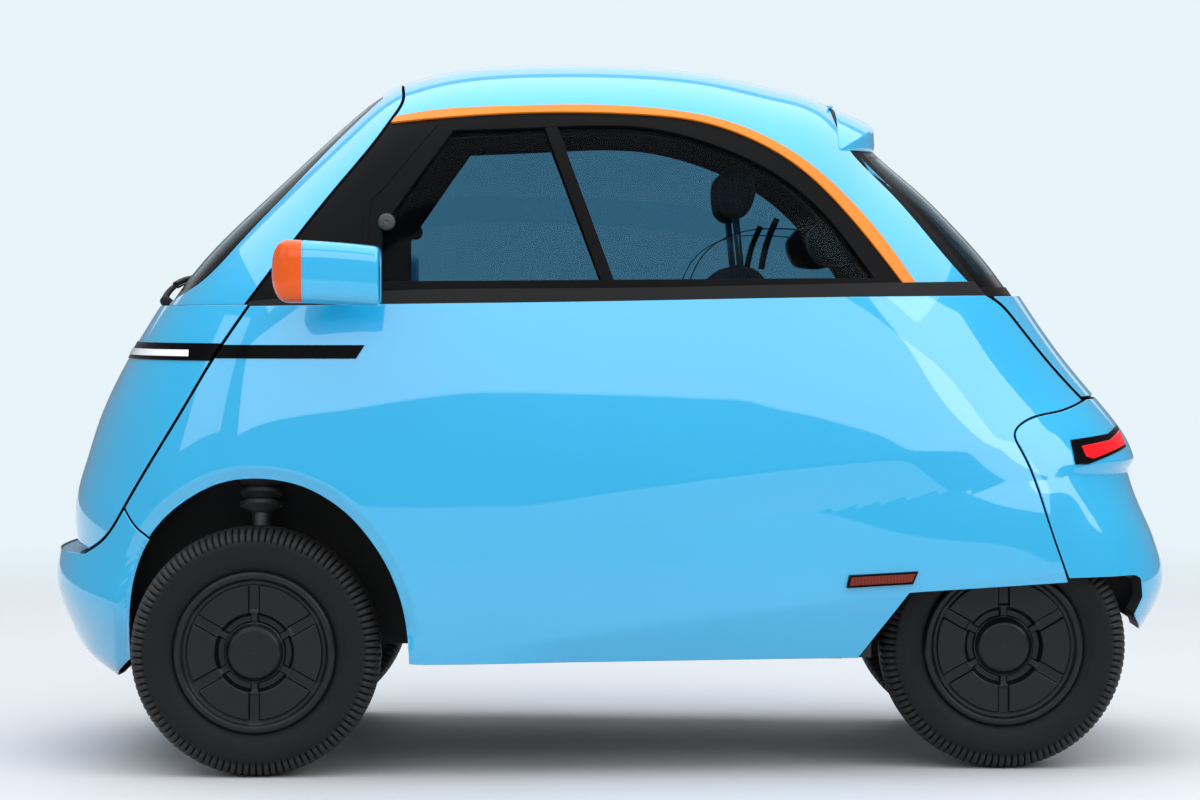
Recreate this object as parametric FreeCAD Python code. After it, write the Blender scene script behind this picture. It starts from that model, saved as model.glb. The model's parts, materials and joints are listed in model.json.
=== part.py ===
import FreeCAD, Part
import math
import os

os.makedirs("parts", exist_ok=True)

V = FreeCAD.Vector

# Driving sizes, millimetres. +X points forward, +Y to the left side, +Z up, ground at Z = 0.
FRONT_AXLE_X = 737.0
REAR_AXLE_X = -867.0
TYRE_RADIUS = 266.5
TYRE_WIDTH = 145.0
RIM_RADIUS = 165.0
COVER_RADIUS = 179.0
FRONT_WHEEL_Y = 617.5
REAR_WHEEL_Y = 457.5

WALL = 45.0            # whole thickness of a side wall
DOOR_WALL = 50.0
ROOF_WALL = 30.0
LEDGE = 14.0           # how far the glasshouse stands in from the lower body
PANE = 5.0
SEAM = 4.0             # gap between two fixed panels
SWING_GAP = 6.0        # gap round a panel that opens
FIT = 0.6              # gap round a piece set into a panel
FLANGE = 24.0          # rim of the tailgate behind the edge of its window

FLOOR_Z = 250.0
FLOOR_THICK = 35.0

SEAT_BASE = 500.0

KING_TOP = (470.0, 700.0)      # y, z of the steering axis at the top mount
KING_LOW = (600.0, 160.0)      # y, z of the steering axis at the ball joint
STEER_ARM = 100.0              # tie rod joint behind the front axle
ARM_Y = 579.0                  # its y, straight behind the steering axis at the arm's height
ROD_Z = 212.0                  # height of the tie rods
STUB_RADIUS = 22.0
TOP_PIN = 9.0
LOW_PIN = 8.0
ROD_RADIUS = 9.0
SHAFT_RADIUS = 10.0
RUNNING = 0.09                 # radial play of a turning bore
SHAFT_PLAY = 0.3               # play of the steering wheel on its shaft, all round and at the end

DOOR_HINGE = (748.0, 655.0)    # x, y of the upright door hinge line
HINGE_PIN = 8.0
HINGE_LOW = 742.0              # heights of the pocket that holds the hinge pin
HINGE_TOP = 850.0
GATE_HINGE = (-508.0, 1456.0)  # x, z of the tailgate hinge line
GATE_KNUCKLE = 7.0             # radius of its knuckles, at plus and minus this y
GATE_KNUCKLE_Y = 210.0

TOW_Y = 260.0                  # towing eye thread behind the front bumper
TOW_Z = 365.0
TOW_FACE = 1130.0
TOW_RADIUS = 8.0
TOW_DEPTH = 45.0
TOW_COVER = 30.0               # half the side of the square hole in the bumper ahead of it
PAD_X = (330.0, -480.0)        # jacking pads under the floor
PAD_Y = 540.0
PAD_Z = 244.0

WHEEL_CENTRE = (430.0, 290.0, 880.0)
WHEEL_LEAN = 25.0
WHEEL_RING = 168.0

# The body skin is a fan of sections round a transverse axis low in the cabin.
FAN_Z = 100.0
CORE = 60.0
FAN_FROM = 1.5
FAN_TO = 178.5
FAN_ROWS = 46
HALF_COLUMNS = 15

# Centre line of the lower body, carried on LEDGE outside the glasshouse: x, z.
CENTRE_LINE = [
    (1030, 120), (1116, 260), (1164, 400), (1188, 500), (1188, 575), (1166, 652), (1136, 741),
    (1081, 856), (1017, 960), (902, 1113), (745, 1265), (574, 1423), (486, 1491), (373, 1533),
    (178, 1554), (4, 1555), (-177, 1545), (-301, 1525), (-388, 1504), (-510, 1466), (-613, 1366),
    (-707, 1284), (-793, 1201), (-880, 1104), (-981, 958), (-1051, 863), (-1132, 765),
    (-1180, 690), (-1197, 620), (-1213, 540), (-1240, 460), (-1250, 410), (-1236, 355),
    (-1200, 295), (-1140, 215), (-1060, 130),
]
BUMPER_LINE = [
    (1020, 120), (1074, 176), (1150, 222), (1190, 278), (1222, 345), (1236, 400), (1228, 450),
    (1208, 520), (1190, 600), (1150, 700),
]
HALF_WIDTH = [
    (-1320, 520), (-1100, 594), (-850, 634), (-500, 668), (0, 706), (300, 731), (720, 748),
    (900, 722), (1050, 680), (1250, 610),
]
TUMBLE = [
    (60, 34), (240, 14), (400, 2), (520, 0), (700, 5), (1000, 32), (1200, 55), (1410, 75), (1600, 85),
]
# Fan angle, exponent across, exponent outward: how square each section is.
SQUARE = [
    (0, 2.8, 7.0), (36, 2.8, 7.0), (50, 3.6, 9.0), (65, 3.6, 9.0), (90, 3.2, 8.0), (130, 3.2, 8.0),
    (146, 3.4, 9.0), (160, 4.0, 12.0), (180, 4.0, 12.0),
]

# Side view seams and outlines: x, z.
DOOR_LOW = [(1120, 469), (1083, 494), (1031, 565), (894, 780), (824, 893), (752, 998)]
DOOR_UP = [(762, 998), (651, 1147), (565, 1257), (489, 1352), (448, 1413), (432, 1450), (438, 1482)]
BUMPER_SEAM = [(1034, 574), (1009, 538), (976, 507)]
ARCH = [
    (1025, 200), (1023, 320), (1006, 442), (960, 527), (882, 593), (806, 628), (726, 637), (640, 624),
    (550, 575), (480, 498), (432, 405), (410, 302), (407, 200),
]
SILL = [(1100, 243), (-549, 246), (-655, 390), (-1002, 409)]
REAR_SEAM = [(-1005, 405), (-951, 558), (-896, 695), (-883, 728), (-908, 754), (-983, 773), (-1058, 797)]
GATE_LOW = [(-836, 1025), (-861, 1010), (-903, 966), (-989, 862), (-1056, 791)]
GATE_UP = [(-511, 1500), (-512, 1440), (-536, 1358), (-626, 1258), (-734, 1132), (-817, 1036)]
BELT_LOW = [(752, 1001), (475, 1005), (4, 1011), (-422, 1019), (-850, 1024)]
BELT_TOP = [(737, 1011), (475, 1031), (4, 1038), (-422, 1046), (-850, 1054)]
STRIP_TOP = [
    (440, 1410), (350, 1423), (220, 1430), (91, 1434), (-82, 1430), (-168, 1421), (-255, 1404),
    (-341, 1372), (-427, 1322), (-514, 1249), (-600, 1154), (-672, 1052),
]
STRIP_LOW = [
    (446, 1399), (220, 1417), (-82, 1417), (-211, 1402), (-319, 1366), (-427, 1301), (-514, 1219),
    (-600, 1115), (-648, 1051),
]
GLASS_EDGE = [(921, 1024), (873, 1050), (787, 1133), (656, 1274), (569, 1368), (502, 1435)]
WINDOW = [(469, 1052), (469, 1166), (319, 1378), (109, 1386), (-105, 1384), (-237, 1350), (-382, 1280),
          (-479, 1198), (-584, 1060)]
DIVIDER = ((128, 1400), (-4, 1040))
DIVIDER_WIDTH = 26.0
REAR_PANE = [(-570, 1336), (-645, 1252), (-753, 1128), (-829, 1030)]
LAMP = [(-1012, 712), (-1021, 666), (-1049, 664), (-1149, 694), (-1136, 738), (-1103, 722)]
REFLECTOR = [(-526, 428), (-670, 435), (-660, 411), (-521, 404)]
BAR_LOW = 886.0
BAR_TOP = 921.0
INSERT = [(822, 918), (501, 918), (518, 891), (838, 891)]
GATE_FOOT = 797.0
BUMPER_TOP = 460.0
DOOR_FOOT = 466.0


class Track:
    """Natural cubic curve through (t, value) pairs, run on straight beyond its ends."""

    def __init__(self, pairs):
        pairs = sorted(pairs)
        self.t = [float(p[0]) for p in pairs]
        self.v = [float(p[1]) for p in pairs]
        count = len(pairs)
        self.bend = [0.0] * count
        work = [0.0] * count
        for i in range(1, count - 1):
            left = self.t[i] - self.t[i - 1]
            right = self.t[i + 1] - self.t[i]
            share = left / (left + right)
            pivot = share * self.bend[i - 1] + 2.0
            self.bend[i] = (share - 1.0) / pivot
            turn = (self.v[i + 1] - self.v[i]) / right - (self.v[i] - self.v[i - 1]) / left
            work[i] = (6.0 * turn / (left + right) - share * work[i - 1]) / pivot
        for i in range(count - 2, -1, -1):
            self.bend[i] = self.bend[i] * self.bend[i + 1] + work[i]

    def at(self, t):
        low = 0
        high = len(self.t) - 1
        while high - low > 1:
            mid = (low + high) // 2
            if self.t[mid] > t:
                high = mid
            else:
                low = mid
        step = self.t[high] - self.t[low]
        a = (self.t[high] - t) / step
        b = (t - self.t[low]) / step
        value = a * self.v[low] + b * self.v[high]
        if 0.0 <= a <= 1.0:
            value += ((a ** 3 - a) * self.bend[low] + (b ** 3 - b) * self.bend[high]) * step * step / 6.0
        return value


def polar(points):
    return [(math.degrees(math.atan2(z - FAN_Z, x)), math.hypot(x, z - FAN_Z)) for x, z in points]


RADIUS = Track(polar(CENTRE_LINE))
BUMPER_RADIUS = Track(polar(BUMPER_LINE))
WIDTH = Track(HALF_WIDTH)
LEAN = Track(TUMBLE)
ACROSS = Track([(a, b) for a, b, c in SQUARE])
OUTWARD = Track([(a, c) for a, b, c in SQUARE])


def half_width(x, z):
    return WIDTH.at(x) - LEAN.at(z)


def section(degrees, inset, radius):
    """Half section in one fan plane, evenly spaced points from the side to the centre plane."""
    reach = radius.at(degrees) - inset
    across = ACROSS.at(degrees)
    outward = OUTWARD.at(degrees)
    cos = math.cos(math.radians(degrees))
    sin = math.sin(math.radians(degrees))
    fine = []
    turn = 0.9

    def add(r, share):
        x = r * cos
        z = FAN_Z + r * sin
        fine.append((x, share * (half_width(x, z) - inset), z))

    for k in range(201):
        r = CORE + (turn * reach - CORE) * k / 200.0
        add(r, (1.0 - (r / reach) ** outward) ** (1.0 / across))
    last = (1.0 - turn ** outward) ** (1.0 / across)
    for k in range(1, 201):
        share = last * (1.0 - k / 200.0)
        add(reach * (1.0 - share ** across) ** (1.0 / outward), share)
    run = [0.0]
    for p, q in zip(fine, fine[1:]):
        run.append(run[-1] + math.dist(p, q))
    picked = []
    index = 0
    for k in range(HALF_COLUMNS + 1):
        goal = run[-1] * k / HALF_COLUMNS
        while index < len(run) - 2 and run[index + 1] < goal:
            index += 1
        part = (goal - run[index]) / (run[index + 1] - run[index])
        p, q = fine[index], fine[index + 1]
        picked.append(tuple(p[i] + (q[i] - p[i]) * part for i in range(3)))
    x, y, z = picked[-1]
    picked[-1] = (x, 0.0, z)
    return picked


def skin(inset, radius, first, last, rows):
    """Solid under the fan surface, from one fan angle to another."""
    grid = []
    for i in range(rows):
        half = section(first + (last - first) * i / (rows - 1.0), inset, radius)
        row = [V(x, y, z) for x, y, z in half]
        row += [V(x, -y, z) for x, y, z in reversed(half[:-1])]
        grid.append(row)
    surface = Part.BSplineSurface()
    surface.interpolate(grid)
    u0, u1, v0, v1 = surface.bounds()
    start = surface.uIso(u0).toShape()
    end = surface.uIso(u1).toShape()
    left = surface.vIso(v0).toShape()
    right = surface.vIso(v1).toShape()
    faces = [surface.toShape(), Part.makeRuledSurface(left, right)]
    for edge, row in ((start, grid[0]), (end, grid[-1])):
        faces.append(Part.Face(Part.Wire([edge, Part.makeLine(row[-1], row[0])])))
    shell = Part.makeShell(faces)
    shell.sewShape()
    solid = Part.Solid(shell)
    if solid.Volume < 0:
        solid.reverse()
    return solid


SKINS = {}


def body(inset):
    if inset not in SKINS:
        SKINS[inset] = skin(inset, RADIUS, FAN_FROM, FAN_TO, FAN_ROWS)
    return SKINS[inset]


def nose(inset):
    key = ("nose", inset)
    if key not in SKINS:
        SKINS[key] = skin(inset, BUMPER_RADIUS, FAN_FROM, 40.0, 14)
    return SKINS[key]


def on_skin(x, z, inset):
    """Half width of the skin where a side view point meets it."""
    degrees, r = polar([(x, z)])[0]
    reach = RADIUS.at(degrees) - inset
    share = (1.0 - min(r / reach, 1.0) ** OUTWARD.at(degrees)) ** (1.0 / ACROSS.at(degrees))
    return share * (half_width(x, z) - inset)


def front_point(degrees, y, inset):
    """Point of the skin at a fan angle and a distance y from the centre plane."""
    reach = RADIUS.at(degrees) - inset
    cos = math.cos(math.radians(degrees))
    sin = math.sin(math.radians(degrees))
    r = reach
    for k in range(12):
        wide = half_width(r * cos, FAN_Z + r * sin) - inset
        share = min(abs(y) / wide, 0.999)
        r = reach * (1.0 - share ** ACROSS.at(degrees)) ** (1.0 / OUTWARD.at(degrees))
    return V(r * cos, y, FAN_Z + r * sin)


def aside(points, gap):
    """The same run of points moved sideways, to its left when gap is positive."""
    moved = []
    for i in range(len(points)):
        a = points[max(i - 1, 0)]
        b = points[min(i + 1, len(points) - 1)]
        dx = b[0] - a[0]
        dz = b[1] - a[1]
        size = math.hypot(dx, dz)
        moved.append((points[i][0] - dz / size * gap, points[i][1] + dx / size * gap))
    return moved


def curve(points):
    if len(points) == 2:
        return Part.makeLine(V(points[0][0], 0, points[0][1]), V(points[1][0], 0, points[1][1]))
    line = Part.BSplineCurve()
    line.interpolate([V(x, 0, z) for x, z in points])
    return line.toShape()


def outline(*runs):
    """Closed face in the side view from runs of points; a run of three or more is a smooth curve."""
    edges = []
    for i, run in enumerate(runs):
        if len(run) > 1:
            edges.append(curve(run))
        nxt = runs[(i + 1) % len(runs)]
        if math.dist(run[-1], nxt[0]) > 0.01:
            edges.append(curve([run[-1], nxt[0]]))
    return Part.Face(Part.Wire(Part.__sortEdges__(edges)))


def left_of(points, gap=0.0, bent=True):
    """Large face on the left of a run of points, whose ends run on straight; gap moves its edge in."""
    run = aside(points, gap)
    far = 3000.0
    ends = []
    for tip, prior in ((run[0], run[1]), (run[-1], run[-2])):
        size = math.dist(tip, prior)
        way = ((tip[0] - prior[0]) / size, (tip[1] - prior[1]) / size)
        ends.append((tip[0] + way[0] * far, tip[1] + way[1] * far, way[0], way[1]))
    a, b = ends
    side = (b[0] - b[3] * far, b[1] + b[2] * far)
    back = (a[0] + a[3] * far, a[1] - a[2] * far)
    normal = (a[3] - b[3], b[2] - a[2])
    size = math.hypot(*normal)
    middle = run[len(run) // 2]
    apex = (middle[0] + normal[0] / size * 2.5 * far, middle[1] + normal[1] / size * 2.5 * far)
    path = [run] if bent else [[p] for p in run]
    return outline([a[:2]], *path, [b[:2]], [side], [apex], [back])


def right_of(points, gap=0.0, bent=True):
    return left_of(points[::-1], gap, bent)


def shared(*faces):
    """Common region of several faces in the side view."""
    region = faces[0]
    for face in faces[1:]:
        region = region.common(face)
    return region.Faces[0]


def corners(points):
    wire = [V(x, 0, z) for x, z in points]
    return Part.Face(Part.makePolygon(wire + wire[:1]))


def prism(face, y0, y1):
    moved = face.copy()
    moved.translate(V(0, y0, 0))
    return moved.extrude(V(0, y1 - y0, 0))


def both(shape):
    return Part.makeCompound([shape, mirror(shape)])


def mirror(shape):
    return shape.mirror(V(0, 0, 0), V(0, 1, 0))


def box(x0, x1, y0, y1, z0, z1):
    return Part.makeBox(x1 - x0, y1 - y0, z1 - z0, V(x0, y0, z0))


def rod(a, b, radius):
    a = V(*a)
    b = V(*b)
    return Part.makeCylinder(radius, (b - a).Length, a, b - a)


def spin(points, centre, axis):
    """Turned solid from (radius, along) points round an axis through a centre."""
    wire = [V(r, 0, s) for r, s in points]
    face = Part.Face(Part.makePolygon(wire + wire[:1]))
    solid = face.revolve(V(0, 0, 0), V(0, 0, 1), 360)
    solid.Placement = FreeCAD.Placement(V(*centre), FreeCAD.Rotation(V(0, 0, 1), V(*axis)))
    return solid


def rounded(shape, radius, wanted=None):
    edges = [e for e in shape.Edges if wanted is None or wanted(e)]
    return shape.makeFillet(radius, edges)


def solids(shape):
    found = [s for s in shape.Solids if s.Volume > 200.0]
    if len(found) == 1:
        return found[0]
    return Part.makeCompound(found)


def save(name, shape):
    shape = solids(shape)
    if not shape.isValid():
        print("not valid:", name)
    print("%-22s solids %d  faces %3d  volume %9.0f cm3" % (
        name, len(shape.Solids), len(shape.Faces), shape.Volume / 1000.0))
    shape.exportStep("parts/" + name + ".step")


WELL = outline(aside(ARCH, -26.0))
ARCH_HOLE = outline(ARCH)


def open_arches(shape):
    """Cut both front wheel openings, wider inside than at the lip."""
    hole = prism(ARCH_HOLE, 300, 900)
    well = prism(WELL, 300, 578)
    return shape.cut([hole, mirror(hole), well, mirror(well)])


def side_panel():
    face = shared(
        left_of(DOOR_LOW, SWING_GAP / 2), left_of(BELT_LOW), left_of(GATE_LOW, SWING_GAP / 2),
        right_of(REAR_SEAM, SEAM / 2), right_of(SILL, 0.0, False))
    shape = prism(face, 200, 900).common(body(0)).cut(body(WALL))
    shape = open_arches(shape)
    front = shared(left_of(BUMPER_SEAM, -SEAM / 2), corners([(1400, 0), (1400, 620), (930, 620), (930, 0)]))
    shape = shape.cut(prism(front, 100, 900))
    for hole, depth in ((LAMP, 30.0), (REFLECTOR, 12.0 + FIT), (INSERT, 28.0 + FIT)):
        shape = shape.cut(grown(hole, FIT, 200, 900).cut(body(depth)))
    return shape.cut(rear_well())


def hinge_pocket():
    """Room in the left wall for the hinge pin and the roots of its arms."""
    x, y = DOOR_HINGE
    room = box(x - 75, x + 48, y - 100, y - 8, HINGE_LOW, HINGE_TOP)
    return room.fuse(box(x - 22, x + 22, y - 20, y + 18, HINGE_LOW, HINGE_TOP))


def hinge_arms():
    """Two bent arms that carry the front door round the edge of the left wall."""
    x, y = DOOR_HINGE
    path = [(0, 0), (-50, -42), (-108, -95), (-112, -160), (-25, -205), (95, -185), (177, -111)]
    inside = body(DOOR_WALL).fuse(box(x - 200, x + 60, y - 100, y + 60, 0, 1400))
    arms = []
    for z in (HINGE_LOW + 14, HINGE_TOP - 32):
        pieces = [Part.makeCylinder(14.0, 18.0, V(x, y, z))]
        for a, b in zip(path, path[1:]):
            bar = Part.makeBox(math.dist(a, b), 16.0, 18.0, V(0, -8.0, 0))
            turn = FreeCAD.Rotation(V(0, 0, 1), math.degrees(math.atan2(b[1] - a[1], b[0] - a[0])))
            bar.Placement = FreeCAD.Placement(V(x + a[0], y + a[1], z), turn)
            pieces += [bar, Part.makeCylinder(8.0, 18.0, V(x + b[0], y + b[1], z))]
        arms.append(pieces[0].fuse(pieces[1:]))
    bore = rod((x, y, HINGE_LOW - 50), (x, y, HINGE_TOP + 50), HINGE_PIN + RUNNING)
    return Part.makeCompound([a.common(inside).cut(bore) for a in arms])


def rear_well():
    return rod((REAR_AXLE_X, 360, TYRE_RADIUS), (REAR_AXLE_X, 542, TYRE_RADIUS), TYRE_RADIUS + 20.0)


def grown(points, gap, y0, y1):
    """Prism of a small outline made larger by a gap on every side."""
    face = corners(points)
    return prism(face.makeOffset2D(gap), y0, y1) if gap else prism(face, y0, y1)


def front_bumper():
    low = corners([(1400, 176), (1072, 176), (1024, 238), (930, 238), (930, 620), (1400, 620)])
    face = shared(left_of(BUMPER_SEAM, SEAM / 2), low.cut(door_face(-SWING_GAP / 2)).Faces[0])
    shape = prism(face, -900, 900).common(nose(0)).cut(nose(WALL))
    shape = shape.cut(box(TOW_FACE, 1300, TOW_Y - TOW_COVER, TOW_Y + TOW_COVER,
                          TOW_Z - TOW_COVER, TOW_Z + TOW_COVER))
    return open_arches(shape)


def door_face(inset=SWING_GAP / 2):
    foot = DOOR_FOOT if inset > 0 else BUMPER_TOP
    return outline([(1400, foot), (1126, foot)], aside(DOOR_LOW, -inset), aside(DOOR_UP, -inset),
                   [(470, 1600)], [(1400, 1600)])


def glass_face(gap):
    edge = aside(GLASS_EDGE, -gap)
    return outline([(1150, 1006 + gap), (955, 1009 + gap)], edge, [(490 + gap, 1474), (560, 1600)],
                   [(1150, 1600)])


def belt_plane(drop):
    """Everything below the top of the lower body."""
    return prism(corners([(1400, 996 - drop), (-1400, 1031 - drop), (-1400, 0), (1400, 0)]), -900, 900)


def front_door():
    face = prism(door_face(), -900, 900)
    low = face.common(body(0)).common(belt_plane(0)).cut(body(DOOR_WALL))
    high = face.common(body(LEDGE)).cut(body(DOOR_WALL)).cut(belt_plane(0.0))
    high = high.cut(prism(glass_face(0.0), -900, 900))
    shape = low.fuse(high)
    slot = box(700, 1300, -900, 900, BAR_LOW - FIT, BAR_TOP + FIT).cut(body(22.0))
    return shape.cut(slot)


def windshield():
    face = prism(glass_face(1.0), -900, 900)
    return face.common(body(LEDGE + 3.0)).cut(body(LEDGE + 3.0 + PANE))


def light_bar():
    face = prism(door_face(), -900, 900).common(box(840, 1300, -900, 900, BAR_LOW, BAR_TOP))
    return face.common(body(-3.0)).cut(body(22.0 - FIT))


def side_insert():
    face = grown(INSERT, 0, 300, 900)
    return face.common(body(-2.0)).cut(body(28.0)).common(
        prism(outline(aside(DOOR_LOW, SWING_GAP), [(752, 1000), (400, 1000)], [(400, 469)]), 300, 900))


def belt_trim():
    face = shared(right_of(BELT_LOW), left_of(BELT_TOP), left_of(DOOR_UP, SWING_GAP / 2),
                  left_of(GATE_UP, SWING_GAP / 2))
    return prism(face, 200, 900).common(body(2.0)).cut(body(WALL))


def window_frame():
    face = shared(right_of(BELT_TOP, 0.5), left_of(STRIP_LOW, 0.5), left_of(DOOR_UP, SWING_GAP / 2))
    shape = prism(face, 200, 900).common(body(LEDGE)).cut(body(WALL))
    (x0, z0), (x1, z1) = DIVIDER
    bar = prism(corners([(x0, z0), (x1, z1), (x1 - DIVIDER_WIDTH, z1), (x0 - DIVIDER_WIDTH, z0)]), 200, 900)
    hole = prism(corners(WINDOW), 200, 900).cut(bar)
    return shape.cut(hole)


def side_glass():
    (x0, z0), (x1, z1) = DIVIDER
    bar = prism(corners([(x0 + 1, z0), (x1 + 1, z1), (x1 - DIVIDER_WIDTH - 1, z1),
                         (x0 - DIVIDER_WIDTH - 1, z0)]), 200, 900)
    face = prism(corners(WINDOW).makeOffset2D(-FIT), 200, 900).cut(bar)
    return face.common(body(LEDGE + 6.0)).cut(body(LEDGE + 6.0 + PANE))


def roof_strip():
    face = shared(left_of(STRIP_TOP), right_of(STRIP_LOW), right_of(BELT_TOP, 0.5),
                  left_of(DOOR_UP, SWING_GAP / 2))
    return prism(face, 200, 900).common(body(LEDGE - 4.0)).cut(body(WALL))


def roof_panel():
    face = shared(left_of(DOOR_UP, SWING_GAP / 2), right_of(STRIP_TOP, 0.5),
                  left_of(GATE_UP, SWING_GAP / 2), right_of(BELT_TOP, 0.5))
    shape = prism(face, -900, 900).common(body(LEDGE)).cut(body(LEDGE + ROOF_WALL))
    return gate_hinges(shape, False)


def gate_hinges(shape, moves):
    """Two three-knuckle hinges: the gate carries each middle knuckle, the roof the outer two and the pin."""
    x, z = GATE_HINGE
    for middle in (-GATE_KNUCKLE_Y, GATE_KNUCKLE_Y):
        def bar_at(y0, y1, radius):
            return rod((x, middle + y0, z), (x, middle + y1, z), radius)

        def root(y0, y1, x0, x1):
            return box(x0, x1, middle + y0, middle + y1, z - 12, z - 4)

        inner = bar_at(-30, 30, GATE_KNUCKLE)
        outer = [bar_at(-44, -31, GATE_KNUCKLE), bar_at(31, 44, GATE_KNUCKLE)]
        if moves:
            shape = shape.cut([bar_at(-45, -30, GATE_KNUCKLE + 1.5), bar_at(30, 45, GATE_KNUCKLE + 1.5)])
            shape = shape.fuse([inner, root(-30, 30, x - 24, x)])
            shape = shape.cut(bar_at(-60, 60, 3.0 + RUNNING))
        else:
            shape = shape.cut([bar_at(-31, 31, GATE_KNUCKLE + 1.5), root(-31, 31, x - 1, x + 8)])
            shape = shape.fuse(outer + [root(-44, -31, x, x + 24), root(31, 44, x, x + 24)])
            shape = shape.fuse(bar_at(-44, 44, 3.0))
    return shape


def tailgate():
    face = outline(aside(GATE_UP, -SWING_GAP / 2), aside(GATE_LOW, -SWING_GAP / 2),
                   [(-1400, GATE_FOOT + SWING_GAP)], [(-1400, 1600)], [(-510, 1600)])
    whole = prism(face, -900, 900).common(box(-1500, 0, -900, 900, GATE_FOOT + SWING_GAP, 1600))
    belt = prism(corners([(-400, 1016), (-1400, 1030), (-1400, 0), (-400, 0)]), -900, 900)
    low = whole.common(body(0)).common(belt).cut(body(WALL))
    high = whole.common(body(LEDGE)).cut(body(WALL)).cut(belt)
    high = high.cut(prism(rear_face(0.0), -900, 900).cut(body(LEDGE + 3.0 + PANE + FIT)))
    opening = shared(right_of(REAR_PANE, FLANGE),
                     corners([(-1400, 1072), (-500, 1072), (-500, 1326), (-1400, 1326)]))
    shape = low.fuse(high).cut(prism(opening, -900, 900))
    spoiler = prism(corners([(-512, 1452), (-578, 1424), (-593, 1414), (-598, 1372), (-570, 1382),
                             (-512, 1436)]), -440, 440)
    ends = spoiler.common(body(-8.0))
    return gate_hinges(shape.fuse(ends), True)


def rear_face(gap):
    edge = aside(REAR_PANE, -gap)
    return outline(edge, [(-850, 1040 + gap), (-1200, 1052 + gap)], [(-1200, 1340 - gap)],
                   [(-600 - gap, 1352 - gap)])


def rear_window():
    face = prism(shared(rear_face(0.8), left_of([(-570, 1336), (-600, 1352)], 0.8)), -900, 900)
    return face.common(body(LEDGE + 3.0)).cut(body(LEDGE + 3.0 + PANE))


def rear_bumper():
    face = outline(aside(REAR_SEAM, SEAM / 2), [(-1400, GATE_FOOT - 2)], [(-1400, 285)], [(-1176, 296)],
                   [(-1150, 333)], [(-1170, 369)], [(-1166, 415)], [(-1149, 424)])
    shape = prism(face, -900, 900).common(body(0)).cut(body(WALL))
    for side in (1, -1):
        hole = grown(LAMP, FIT, 200, 900).cut(body(30.0))
        shape = shape.cut(hole if side > 0 else mirror(hole))
    return shape.cut([rear_well(), mirror(rear_well())])


def tail_lamp():
    return grown(LAMP, 0, 200, 900).common(body(-4.0)).cut(body(30.0 - FIT))


def reflector():
    return grown(REFLECTOR, 0, 200, 900).common(body(-3.0)).cut(body(12.0))


def mirror_pod():
    pod = prism(corners([(678, 1090), (640, 1128), (560, 1138), (476, 1132), (460, 1090), (462, 1026),
                         (560, 1014), (640, 1018), (684, 1052)]), 785, 905)
    pod = rounded(pod, 18.0)
    root = on_skin(560, 1045, LEDGE)
    stalk = prism(corners([(620, 1036), (520, 1036), (520, 1060), (620, 1060)]), root - 14, 800)
    stalk = stalk.cut(body(LEDGE))
    return pod, stalk


def wheel_parts(x, y, side):
    """Tyre and wheel for one corner; side is +1 on the left."""
    axis = (0, side, 0)
    centre = (x, y * side, TYRE_RADIUS)
    half = TYRE_WIDTH / 2
    top = TYRE_RADIUS
    bead = RIM_RADIUS + 0.3
    tyre = spin([(bead, -54), (178, -56), (194, -66), (222, -half), (244, -half + 4), (259, -half + 15),
                 (top, -half + 34), (top, half - 34), (259, half - 15), (244, half - 4), (222, half),
                 (194, 66), (178, 56), (bead, 54)], centre, axis)
    bore = STUB_RADIUS + RUNNING
    rim = spin([(bore, -8), (60, -8), (60, 12), (bore + 34, 34), (140, 36), (150, 20), (150, -62),
                (RIM_RADIUS + 9, -66), (RIM_RADIUS + 9, -59), (RIM_RADIUS, -57), (RIM_RADIUS, 57),
                (RIM_RADIUS + 9, 60), (COVER_RADIUS, 67), (COVER_RADIUS - 8, 72.0), (150, 66), (82, 62),
                (82, 56), (66, 56), (66, 64), (50, 66), (0, 66), (0, 40), (bore, 40)], centre, axis)
    disc = spin([(50, -30), (68, -30), (68, -21), (60, -21), (60, -8), (bore, -8), (bore, -30)],
                centre, axis)
    wheel = rim.fuse(disc)
    pockets = []
    for k in range(6):
        start = math.radians(60 * k)
        wedge = []
        for angle in (-24, -12, 0, 12, 24):
            wedge.append((142 * math.cos(start + math.radians(angle)), 142 * math.sin(start + math.radians(angle))))
        for angle in (18, 0, -18):
            wedge.append((88 * math.cos(start + math.radians(angle)), 88 * math.sin(start + math.radians(angle))))
        face = Part.Face(Part.makePolygon([V(a, b, 58) for a, b in wedge + wedge[:1]]))
        pocket = face.extrude(V(0, 0, 20))
        pocket.Placement = FreeCAD.Placement(V(*centre), FreeCAD.Rotation(V(0, 0, 1), V(*axis)))
        pockets.append(pocket)
    wheel = wheel.cut(pockets)
    return tyre, wheel


def king_pin(place, start, end, radius):
    """Round bar along the left steering axis, from start to end past a (y, z) point of it."""
    dy = KING_TOP[0] - KING_LOW[0]
    dz = KING_TOP[1] - KING_LOW[1]
    size = math.hypot(dy, dz)
    way = V(0, dy / size, dz / size)
    return Part.makeCylinder(radius, end - start, V(FRONT_AXLE_X, *place) + way * start, way)


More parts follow.
